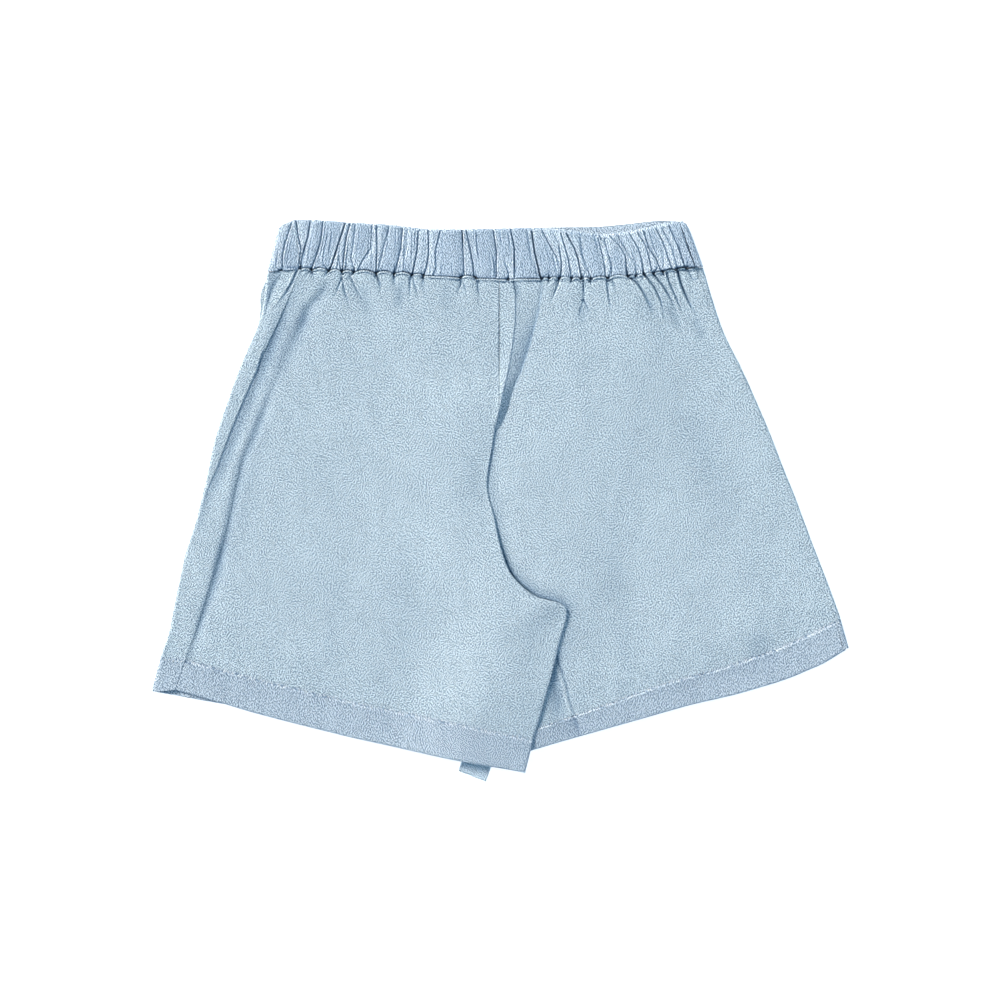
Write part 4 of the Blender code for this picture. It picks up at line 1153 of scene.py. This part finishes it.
def left_surface(x, y, from_inner, from_outer):
    """Top of the left back with its creases, and its shade."""
    stitched_roll, folded_gain, leg_gain = LEFT_ROLL
    roll = edge_roll(from_inner, stitched_roll + folded_gain * folded(y)
                     + leg_gain * (1.0 - ease(*LEG_FOLD, y)))
    under_strip = -strip_lift(y) / STRIP_LIFT * bell(from_outer, UNDER_STRIP_REACH)
    relief, shade = panel_lines(x, y, LEFT_CREASES, SEED["left seam"])
    side_relief, side_shade = creases(x, y, SIDE_CREASES)
    # Painted shade along the left back's stitched edge at the centre seam, broken into dashes
    stitched = (1.0 - folded(y)) * (CENTRE_LOW + (1.0 - CENTRE_LOW) * ease(*CENTRE_RUN, y))
    centre_seam_shade = stitched * bell(from_inner, CENTRE_WIDTH)
    centre_seam_shade = centre_seam_shade * (1.0 + waves(x, y, CENTRE_SHADE_WAVES, SEED["centre seam"]))
    z = (back_left_height(x, y) + fold_press(y, from_inner) + roll
         + UNDER_STRIP_RELIEF * under_strip + relief + side_relief
         + hem_ripples(x, y, LEFT_RIPPLES_Y, SEED["left ripples"]) + pleat_crest(x, y)
         + soft_unevenness(x, y, SEED["left cloth"]))
    return z, shade + side_shade + UNDER_STRIP_SHADE * under_strip - centre_seam_shade


def strip_lift(y):
    """How far the left front's strip stands up over the left back."""
    upper = ease(*STRIP_START, y) * (1.0 - STRIP_LOSS * ease(*STRIP_SOFTER, y))
    return STRIP_LIFT * upper + STRIP_LOW * STRIP_LIFT * (1.0 - ease(*STRIP_LOW_END, y))


def back_grid(stations, inner, sag, downs):
    """X and y of a back panel, and how far each place is from its inner and outer edges."""
    outer = smooth_points(column(stations, SEAM), downs)
    x, y = leg_rows(inner, outer, sag, downs, edge_shares(PANEL_COLUMNS))
    y = y + seam_arch(x) * bell(waist_y(x) - y, ARCH_REACH)
    from_inner = np.hypot(x - inner[:, :1], y - inner[:, 1:])
    from_outer = np.hypot(x - outer[:, :1], y - outer[:, 1:])
    return x, y, from_inner, from_outer


def left_back(sag, material):
    """The left back, with its crotch fold lying over the right back."""
    downs = waist_shares(PANEL_ROWS)
    inner = smooth_points(column(LEFT_LEG, BACK_INNER), downs)
    inner[:, 0] += LEFT_SEAM_SHIFT * ease(*LEFT_SEAM_RUN, inner[:, 1])
    x, y, from_inner, from_outer = back_grid(LEFT_LEG, inner, sag, downs)
    z, shade = left_surface(x, y, from_inner, from_outer)
    return shell("left_back_cloth", "back_left", stack(x, y, z), SHELL, material, shade,
                 FINE_STEP, flip=True)


def pleat_strength(y):
    """How far the pleat is formed at a height."""
    return ease(*PLEAT_START, y) * (1.0 - PLEAT_LOSS * ease(*PLEAT_SOFTER, y))


def pleat_top_x(y):
    """X of the pleat's upper edge at a height."""
    top = np.array(PLEAT_TOP)[::-1]
    return np.interp(y, top[:, 1], top[:, 0])


def pleat_crest(x, y):
    """How high the cloth on both sides of the centre seam stands along the pleat's upper edge."""
    beyond = np.minimum(x - pleat_top_x(y), 0.0)
    return PLEAT_CREST * pleat_strength(y) * bell(beyond, PLEAT_CREST_REACH)


def pleat_relief(x, y):
    """The pleat beside the centre seam: its relief, and its shade where the cloth lies deep."""
    floor = np.array(PLEAT_FLOOR)[::-1]
    top_x = pleat_top_x(y)
    floor_x = np.interp(y, floor[:, 1], floor[:, 0])
    across = np.clip((x - top_x) / np.maximum(floor_x - top_x, PLEAT_NARROWEST), 0.0, 1.0)
    with_left = LAYER * top_climb(x, y) * past_join(y) * ease(*PLEAT_LEFT_RUN, y)
    crest = pleat_crest(x, y) + with_left
    falling = crest * (1.0 - across) - pleat_strength(y) * PLEAT_DEPTH * across
    wall = ease(0.0, PLEAT_WALL, x - floor_x)
    top_reach, low_reach = PLEAT_SHADE_REACH
    reach = low_reach - (low_reach - top_reach) * ease(*PLEAT_REACH_RUN, y)
    deep = np.where(across > 0.0, np.exp(-np.maximum(floor_x - x, 0.0) / reach), 0.0)
    deep = deep * (1.0 - ease(*PLEAT_SHADE_END, x - floor_x))
    strength = PLEAT_LOW_SHADE + (1.0 - PLEAT_LOW_SHADE) * ease(*PLEAT_SHADE_RUN, y)
    line = PLEAT_LINE * ease(*PLEAT_LINE_RUN, y) * bell(x - top_x, PLEAT_LINE_WIDTH)
    shade = PLEAT_SHADE * pleat_strength(y) * strength * deep + line
    return falling * (1.0 - wall), -shade


def beside_left_back(x, y):
    """Shade of the right back under the edge of the left back, from the crotch fold to the hem."""
    distance, side, _share = line_field(x, y, LEFT_INNER_LINE)
    places, _press, *columns = zip(*FOLD_EDGE)
    dark, soft, reach = (np.interp(y, places, values) for values in columns)
    # Painted shadow: a dark line at the left back's edge and a soft shade beside it
    shade = dark * np.exp(-distance / DARK_LINE_WIDTH) + soft * bell(distance, reach)
    return -shade * (1.0 - ease(*BESIDE_FADE, y)) * (side > 0.0)


def right_back(sag, material):
    """The right back, with the pleat beside the centre seam."""
    downs = waist_shares(PANEL_ROWS)
    inner = smooth_points(column(RIGHT_LEG, BACK_INNER), downs)
    inner[:, 0] = np.where(inner[:, 1] > JOIN_Y, -JOIN_GAP, inner[:, 0])
    x, y, from_inner, _from_outer = back_grid(RIGHT_LEG, inner, sag, downs)
    pleat, pleat_shade = pleat_relief(x, y)
    relief, shade = panel_lines(x, y, RIGHT_CREASES, SEED["right seam"])
    level = back_right_height(x, y)
    z = (level + pleat + relief + hem_ripples(x, y, RIGHT_RIPPLES_Y, SEED["right ripples"])
         + edge_roll(from_inner, RIGHT_ROLL) + soft_unevenness(x, y, SEED["right cloth"]))
    z = np.maximum(z, level - LAYER)    # no crease reaches into the ply below
    return shell("right_back_cloth", "back_right", stack(x, y, z), SHELL, material,
                 shade + pleat_shade + beside_left_back(x, y), FINE_STEP)


def left_strip(x, y, from_seam):
    """Relief and shade of the strip of the left front that lies on the back."""
    lift = strip_lift(y)
    edge = lift * bell(from_seam, STRIP_REACH)
    edge = edge + edge_roll(from_seam, STRIP_ROLL) * lift / STRIP_LIFT
    crossing, shade = creases(x, y, STRIP_CREASES + SIDE_CREASES)
    distance, line_side, _share = line_field(x, y, STRIP_CREASES[1][-1])
    lower = ease(0.0, STRIP_SHADE_EDGE, -line_side * distance) * ease(*STRIP_SHADE_START, y)
    shade = shade - STRIP_SHADE * lower * (1.0 - ease(*STRIP_SHADE_END, y))
    return edge + crossing + soft_unevenness(x, y, SEED["left cloth"]), shade


def right_strip(x, y, _from_seam):
    """Relief of the narrow strip of the right front, and its shade, which is none."""
    return soft_unevenness(x, y, SEED["right cloth"]), np.zeros(x.shape)


def front(side, stations, sag, height, strip, material):
    """A front ply, which wraps round the side and shows as a strip on the back."""
    downs = waist_shares(FRONT_ROWS)
    inner, outer, seam = (smooth_points(column(stations, index), downs)
                          for index in (FRONT_INNER, OUTER, SEAM))
    points, wear = wrapped_grid(inner, outer, seam, sag, downs, height, LAYER + CLOTH, strip)
    return shell(side + "_front_cloth", "front_" + side, points, SHELL, material, wear,
                 flip=side == "right")


def hem_edge(stations, corners, index, downs):
    """One edge of a hem from the stitching to its lower corner."""
    top = np.array(stations[-1][index]) - (0.0, SEAM_GAP)
    corner = np.array(corners[index - OUTER])
    return top + (corner - top) * downs[:, None]


def hem_relief(side):
    """A function for the relief and shade of the strip of a front hem that lies on the back."""
    lift = STRIP_LOW * STRIP_LIFT if side == "left" else 0.0

    def relief(x, y, from_seam):
        uneven = waves(x, y, FRONT_HEM_WAVES, SEED["front hem"])
        edge = lift * bell(from_seam, STRIP_REACH) + edge_roll(from_seam, HEM_SEAM_ROLL)
        return edge + uneven, 0.0 * from_seam
    return relief


def hems(side, stations, corners, sags, back_height, front_height, material):
    """The back and front hems of one leg."""
    row_crowding, column_crowding = HEM_CROWDING
    back_sag, front_sag = sags
    downs = edge_shares(HEM_ROWS, row_crowding)
    outer, seam, back_inner, front_inner = (hem_edge(stations, corners, index, downs)
                                            for index in (OUTER, SEAM, BACK_INNER, FRONT_INNER))
    x, y = leg_rows(back_inner, seam, back_sag, downs, edge_shares(HEM_COLUMNS, column_crowding))
    depth = np.linalg.norm(np.array(corners[1]) - np.array(stations[-1][SEAM]))
    from_stitch = downs[:, None] * depth
    from_fold = (1.0 - downs)[:, None] * depth
    from_inner = np.hypot(x - back_inner[:, :1], y - back_inner[:, 1:])
    puckers = waves(x, y, HEM_PUCKERS, SEED["hem puckers"]) * np.exp(-from_stitch / PUCKER_FADE)
    lines = ridges(np.abs(from_stitch - STITCH_INSET), STITCH_RIDGES) + puckers
    speckle = STITCH_WEAR_BASE + waves(x, y, STITCH_SPECKLE, SEED["hem speckle"])
    # Real wear: speckled paleness of the cloth along the stitching
    tone_shift = STITCH_WEAR * speckle * bell(from_stitch - STITCH_INSET, STITCH_WEAR_WIDTH)
    z = (back_height(x, y) + (HEM_CLOTH - CLOTH) * ease(0.0, THICKENING_RUN, from_stitch)
         + edge_roll(from_fold, HEM_ROLL) + edge_roll(from_inner, HEM_INNER_ROLL[side]) + lines
         + waves(x, y, HEM_WAVES, SEED["hem cloth"]))
    if side == "left":
        z = z + fold_press(y, from_inner)
    else:
        crossing, crossing_shade = creases(x, y, RIGHT_HEM_CREASES)
        z = z + crossing
        lines = lines + crossing_shade + beside_left_back(x, y)
    back_piece = shell(side + "_back_hem_cloth", "hem_back_" + side, stack(x, y, z), HEM_SHELL,
                       material, lines + tone_shift, flip=side == "left")
    points, wear = wrapped_grid(front_inner, outer, seam, front_sag, downs, front_height,
                                LAYER + HEM_CLOTH, hem_relief(side))
    front_piece = shell(side + "_front_hem_cloth", "hem_front_" + side, points, HEM_SHELL,
                        material, wear, flip=side == "right")
    return [back_piece, front_piece]


def band_height(x):
    """Top of the waistband before its gathers."""
    return BAND_BACK_TOP + waves(x, x, BAND_BACK_WAVES, SEED["band height"])


def back_band(material):
    """The gathered back band."""
    shares = np.linspace(0.0, 1.0, BAND_COLUMNS)
    downs = edge_shares(BAND_ROWS, BAND_CROWDING)[:, None]
    top_x, lower_x = (start[0] - BAND_OVERHANG + (end[0] - start[0] + BAND_OVERHANG) * shares
                      for start, end in ((BAND_BACK_TOP_EDGE[0], BAND_BACK_TOP_EDGE[-1]),
                                         (LEFT_LEG[0][SEAM], RIGHT_LEG[0][SEAM])))
    top_y = soft_table(BAND_BACK_TOP_EDGE, top_x)
    top_y = top_y + BAND_EDGE_RELIEF * band_relief(top_x, top_y - BAND_EDGE_INSET)[0]
    top_y = top_y + waves(top_x, top_x, BAND_EDGE_WAVES, SEED["band edge"])
    lower_y = waist_y(lower_x) + seam_arch(lower_x) + BACK_BAND_RISE
    x = top_x + (lower_x - top_x) * downs
    y = top_y + (lower_y - top_y) * downs
    relief, shade = band_relief(x, y)
    z = band_height(x) + relief + edge_roll(top_y - y, BAND_ROLL)
    return shell("back_band_cloth", "waistband_back", stack(x, y, z), BAND_SHELL, material, shade,
                 FINE_STEP)


def band_turn(x, y, edge, direction, meet, radius):
    """One side of the front band: round its fold and in over the back to the side seam."""
    angles = np.linspace(0.0, math.pi, BAND_TURN_POINTS)[1:]
    turn_x = x[:, edge][:, None] + direction * radius * np.sin(angles)
    rounding = (1.0 - np.linspace(0.0, 1.0, len(y)))[:, None] ** CORNER_SHARPNESS
    turn_y = y[:, edge][:, None] - CORNER_DROP * rounding * np.sin(angles)
    turn_z = BAND_FRONT_UNDERSIDE + radius * (1.0 - np.cos(angles))
    run = np.linspace(0.0, 1.0, BAND_STRIP_COLUMNS)[1:]
    strip_x = turn_x[:, -1:] + (meet[:, :1] - turn_x[:, -1:]) * run
    strip_y = turn_y[:, -1:] + (meet[:, 1:] - turn_y[:, -1:]) * run
    relief, shade = band_relief(strip_x, strip_y)
    relief = relief + edge_roll(strip_y[:1, :] - strip_y, BAND_ROLL)
    strip_z = (BAND_FRONT_UNDERSIDE + 2.0 * radius) * (1.0 - run) + band_height(strip_x) * run
    strip_z = strip_z + relief * ease(*BAND_STRIP_START, run)
    points = np.concatenate((stack(turn_x, turn_y, turn_z), stack(strip_x, strip_y, strip_z)), 1)
    return points, np.concatenate((0.0 * turn_x, shade), axis=1)


def front_band(material):
    """The smooth front band, whose inside shows above the back band."""
    radius = BAND_TURN_HEIGHT / 2.0
    rows, columns = FRONT_BAND_GRID
    downs = np.linspace(0.0, 1.0, rows)[:, None]
    shares = np.linspace(0.0, 1.0, columns)
    top_x, lower_x = (start[0] + radius + (end[0] - start[0] - 2.0 * radius) * shares
                      for start, end in ((BAND_FRONT_TOP_EDGE[0], BAND_FRONT_TOP_EDGE[-1]),
                                         (LEFT_LEG[0][OUTER], RIGHT_LEG[0][OUTER])))
    top_y = soft_table(BAND_FRONT_TOP_EDGE, top_x)
    lower_y = waist_y(lower_x) + FRONT_BAND_RISE
    x = top_x + (lower_x - top_x) * downs
    y = top_y + (lower_y - top_y) * downs
    turns = []
    for edge, direction, stations in ((0, -1.0, LEFT_LEG), (-1, 1.0, RIGHT_LEG)):
        low_place = np.array(stations[0][SEAM]) + (0.0, FRONT_BAND_RISE)
        meet = np.array(BAND_BACK_TOP_EDGE[edge]) * (1.0 - downs) + low_place * downs
        meet = meet + (direction * BAND_MEET, 0.0)
        turns.append(band_turn(x, y, edge, direction, meet, radius))
    (left_points, left_wear), (right_points, right_wear) = turns
    flat = stack(x, y, BAND_FRONT_UNDERSIDE)
    points = np.concatenate((left_points[:, ::-1], flat, right_points), axis=1)
    wear = np.concatenate((left_wear[:, ::-1], 0.0 * x, right_wear), axis=1)
    return shell("front_band_cloth", "waistband_front", points, FRONT_BAND_SHELL, material, wear,
                 flip=True)


def flap(material):
    """The skirt panel on the front, the lowest ply, with soft creases on its underside."""
    downs, shares = (np.linspace(0.0, 1.0, count) for count in FLAP_GRID)
    left = smooth_points(FLAP_LEFT, downs)[:, None, :]
    free = smooth_points(FLAP_FREE, downs)[:, None, :]
    hem = smooth_points(FLAP_HEM, shares)[None]
    across = shares[None, :, None]
    down = downs[:, None, None]
    chord = np.array(FLAP_LEFT[-1]) * (1.0 - across) + np.array(FLAP_FREE[-1]) * across
    grid = left * (1.0 - across) + free * across + (hem - chord) * down ** 2
    top_sag = FLAP_TOP_DEPTH * 4.0 * (across * (1.0 - across) * (1.0 - down) ** 2)[..., 0]
    x = grid[..., 0]
    y = grid[..., 1] - top_sag
    relief, shade = creases(x, y, FLAP_CREASES)
    uneven = FLAP_UNEVENNESS + soft_unevenness(x, y, SEED["flap cloth"])
    rise = np.clip(uneven - relief, 0.0, FLAP_RELIEF)
    return shell("front_flap_cloth", "front_flap", stack(x, y, over_tie(x, y) + rise), FLAP_SHELL,
                 material, shade, flip=True)


def sash(material):
    """The narrow tie, a doubled ribbon with turned-in edges."""
    rows, columns = TIE_GRID
    centre = smooth_points(TIE_ROUTE, np.linspace(0.0, 1.0, rows))
    ahead = np.gradient(centre, axis=0)
    across = np.stack((-ahead[:, 1], ahead[:, 0]), -1) / np.linalg.norm(ahead, axis=1)[:, None]
    shares = edge_shares(columns, TIE_CROWDING) - 0.5
    grid = centre[:, None, :] + across[:, None, :] * (TIE_WIDTH * shares)[None, :, None]
    from_edge = (0.5 - np.abs(shares))[None, :] * TIE_WIDTH
    lines = ridges(from_edge, TIE_RIDGES) + 0.0 * grid[..., 0]
    z = CLOTH + edge_roll(from_edge, TIE_ROLL) + lines
    return shell("tie_cloth", "tie", stack(grid[..., 0], grid[..., 1], z), TIE_SHELL, material,
                 lines)


# ---------------------------------------------------------------- stitches

STITCH_FORM = ((-0.5, 0.0, -0.4), (-0.3, 0.5, 0.1), (-0.3, -0.5, 0.1), (-0.2, 0.0, 0.6),
               (0.2, 0.0, 0.6), (0.3, 0.5, 0.1), (0.3, -0.5, 0.1), (0.5, 0.0, -0.4))
STITCH_FACES = ((0, 3, 1), (0, 2, 3), (1, 3, 4, 5), (2, 6, 4, 3), (5, 4, 7), (6, 7, 4),
                (0, 1, 5, 7), (0, 7, 6, 2))


def stitched_line(points, pitch):
    """Places and directions of stitches along a smooth line."""
    line = smooth_points(points, np.linspace(0.0, 1.0, STITCH_LINE_POINTS))
    lengths = np.concatenate(((0.0,), np.cumsum(np.hypot(*np.diff(line, axis=0).T))))
    count = max(1, round(lengths[-1] / pitch))
    along = (np.arange(count) + 0.5) * lengths[-1] / count
    run = np.gradient(line, axis=0)
    places, ahead = (np.stack([np.interp(along, lengths, table[:, axis]) for axis in (0, 1)], -1)
                     for table in (line, run))
    return places, ahead / np.linalg.norm(ahead, axis=1, keepdims=True)


def stitches(name, runs, shape, material, seed):
    """One mesh of small stitches. A run is (places, directions, height of the cloth at each)."""
    chance = np.random.default_rng(seed)
    *size, loose = shape
    form = np.array(STITCH_FORM) * size
    verts = []
    faces = []
    for run in runs:
        for place, ahead, level in zip(*run):
            turn = chance.uniform(-STITCH_TURN, STITCH_TURN)
            ahead_x = ahead[0] * math.cos(turn) - ahead[1] * math.sin(turn)
            ahead_y = ahead[0] * math.sin(turn) + ahead[1] * math.cos(turn)
            shift = chance.uniform(-loose, loose)
            start = len(verts)
            for along, across, up in form * chance.uniform(*STITCH_SIZES):
                verts.append((place[0] + ahead_x * along - ahead_y * (across + shift),
                              place[1] + ahead_y * along + ahead_x * (across + shift), level + up))
            faces += [tuple(start + corner for corner in face) for face in STITCH_FACES]
    mesh = bpy.data.meshes.new(name)
    mesh.from_pydata((np.array(verts) * MM).tolist(), [], faces)
    mesh.materials.append(material)
    mesh.shade_smooth()
    piece = placed(name, mesh)
    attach(piece, "root")
    return piece


def surface_heights(piece, places):
    """Height of a piece's upper skin at each place."""
    graph = bpy.context.evaluated_depsgraph_get()
    graph.update()
    heights = []
    for place in places:
        origin = (place[0] * MM, place[1] * MM, LOOK_DOWN_FROM)
        hit, point, _normal, _face = piece.ray_cast(origin, (0.0, 0.0, -1.0))
        heights.append(point[2] / MM if hit else None)
    known = [height for height in heights if height is not None]
    level = sum(known) / len(known)
    return [level if height is None else height for height in heights]


def hem_stitch_line(stations, sag_table):
    """The line of hem stitching on a leg, a little below the hem's upper edge."""
    inner = np.array(stations[-1][BACK_INNER])
    seam = np.array(stations[-1][SEAM])
    shares = np.linspace(*HEM_STITCH_ENDS, HEM_STITCH_POINTS)
    points = inner + (seam - inner) * shares[:, None]
    points[:, 1] -= soft_table(sag_table, shares) + STITCH_INSET
    return points


def strip_stitch_line(stations):
    """The same on the strip of front hem beside it."""
    outer = np.array(stations[-1][OUTER]) - (0.0, STITCH_INSET)
    seam = np.array(stations[-1][SEAM]) - (0.0, STITCH_INSET)
    return [outer + (seam - outer) * share for share in STRIP_STITCH_SHARES]


def stitch_run(piece, points, pitch):
    """Places, directions and heights of the stitches along a line on a piece."""
    places, ahead = stitched_line(points, pitch)
    return places, ahead, surface_heights(piece, places)


def hem_stitches(pieces, material):
    """The stitching of both back hems and of the strips beside them."""
    lines = {
        "left_back_hem_cloth": hem_stitch_line(LEFT_LEG, STITCH_SAG_LEFT),
        "right_back_hem_cloth": hem_stitch_line(RIGHT_LEG, STITCH_SAG_RIGHT),
        "left_front_hem_cloth": strip_stitch_line(LEFT_LEG),
        "right_front_hem_cloth": strip_stitch_line(RIGHT_LEG),
    }
    runs = [stitch_run(pieces[name], line, HEM_STITCH_PITCH) for name, line in lines.items()]
    return stitches("hem_stitches", runs, HEM_STITCH, material, SEED["hem stitches"])


def waist_stitches(pieces, material):
    """The fine blue stitching just above the waist seam, where the band lies flat."""
    points = [(x, waist_y(x) + WAIST_STITCH_RISE)
              for x in np.linspace(*WAIST_STITCH_SPAN, WAIST_STITCH_POINTS)]
    run = stitch_run(pieces["back_band_cloth"], points, WAIST_STITCH_PITCH)
    return stitches("waist_stitches", [run], WAIST_STITCH, material, SEED["waist stitches"])


def side_stitches(pieces, material):
    """The overlocked edge of the front band beside its right side seam."""
    runs = []
    along, across = SIDE_STITCH_TURN
    for top, low in SIDE_STITCH_RUNS:
        middle = ((top[0] + low[0]) / 2.0, (top[1] + low[1]) / 2.0)
        places, ahead = stitched_line((top, middle, low), SIDE_STITCH_PITCH)
        places = places + (SIDE_STITCH_SHIFT, 0.0)
        slanted = np.stack((along * ahead[:, 0] - across * ahead[:, 1],
                            across * ahead[:, 0] + along * ahead[:, 1]), -1)
        runs.append((places, slanted, surface_heights(pieces["front_band_cloth"], places)))
    return stitches("side_seam_stitches", runs, SIDE_STITCH, material, SEED["side stitches"])


# ---------------------------------------------------------------- stage

def make_stage():
    """The floor, the light and the camera straight above."""
    mesh = bpy.data.meshes.new("floor")
    corners = [(-FLOOR_HALF, -FLOOR_HALF), (FLOOR_HALF, -FLOOR_HALF), (FLOOR_HALF, FLOOR_HALF),
               (-FLOOR_HALF, FLOOR_HALF)]
    mesh.from_pydata([(x, y, FLOOR_LEVEL) for x, y in corners], [], [(0, 1, 2, 3)])
    mesh.materials.append(mottled("pale_floor", FLOOR_TONES, FLOOR_NOISE, FLOOR_FINISH))
    placed("floor", mesh)

    world = bpy.data.worlds.new("studio")
    world.use_nodes = True
    sky = world.node_tree.nodes["Background"]
    sky.inputs["Color"].default_value = (*SKY_COLOUR, 1.0)
    sky.inputs["Strength"].default_value = SKY_STRENGTH
    bpy.context.scene.world = world

    lamp = bpy.data.lights.new("key", "SUN")
    lamp.energy = KEY_STRENGTH
    lamp.color = KEY_COLOUR
    lamp.angle = math.radians(KEY_SOFTNESS)
    key = placed("key", lamp)
    key.rotation_euler = (0.0, math.radians(90.0 - KEY_ELEVATION), math.radians(KEY_AZIMUTH))

    camera_data = bpy.data.cameras.new("camera")
    camera_data.sensor_width = SENSOR
    frame_width = PHOTO_PIXELS * MM_PER_PIXEL * MM
    camera_data.lens = SENSOR * (CAMERA_HEIGHT - GARMENT_MID_HEIGHT) / frame_width
    camera = placed("camera", camera_data)
    centre_y = (PHOTO_CENTRE_Y - PHOTO_PIXELS / 2.0) * MM_PER_PIXEL * MM
    camera.location = (0.0, centre_y, CAMERA_HEIGHT)
    bpy.context.scene.camera = camera
    bpy.context.scene.view_settings.view_transform = "Standard"


def main():
    """Make every piece and the stage."""
    left_panel = chambray("left_panel_chambray", PANEL_BLUE, LEFT_LEAN)
    right_panel = chambray("right_panel_chambray", PANEL_BLUE, RIGHT_LEAN)
    band = chambray("band_chambray", BAND_BLUE)
    hem = chambray("hem_chambray", HEM_BLUE)
    tie_cloth = chambray("tie_chambray", TIE_BLUE)
    left_sag = panel_sag(STRAIGHT, STITCH_SAG_LEFT)
    right_sag = panel_sag(WAIST_SAG_RIGHT, STITCH_SAG_RIGHT)
    made = [
        left_back(left_sag, left_panel),
        right_back(right_sag, right_panel),
        front("left", LEFT_LEG, left_sag, front_left_height, left_strip, left_panel),
        front("right", RIGHT_LEG, right_sag, shorts_floor, right_strip, right_panel),
        back_band(band),
        front_band(band),
        flap(left_panel),
        sash(tie_cloth),
    ]
    left_hem_sags = (hem_sag(STITCH_SAG_LEFT, HEM_SAG_LEFT),
                     hem_sag(STITCH_SAG_LEFT, FRONT_HEM_SAG_LEFT))
    right_hem_sags = [hem_sag(STITCH_SAG_RIGHT, HEM_SAG_RIGHT)] * 2
    made += hems("left", LEFT_LEG, LEFT_HEM, left_hem_sags, back_left_height, front_left_height,
                 hem)
    made += hems("right", RIGHT_LEG, RIGHT_HEM, right_hem_sags, back_right_height, shorts_floor,
                 hem)
    pieces = {piece.name: piece for piece in made}
    pale_thread = thread("pale_thread", PALE_THREAD)
    blue_thread = thread("blue_thread", BLUE_THREAD)
    hem_stitches(pieces, pale_thread)
    waist_stitches(pieces, blue_thread)
    side_stitches(pieces, blue_thread)
    make_stage()


main()
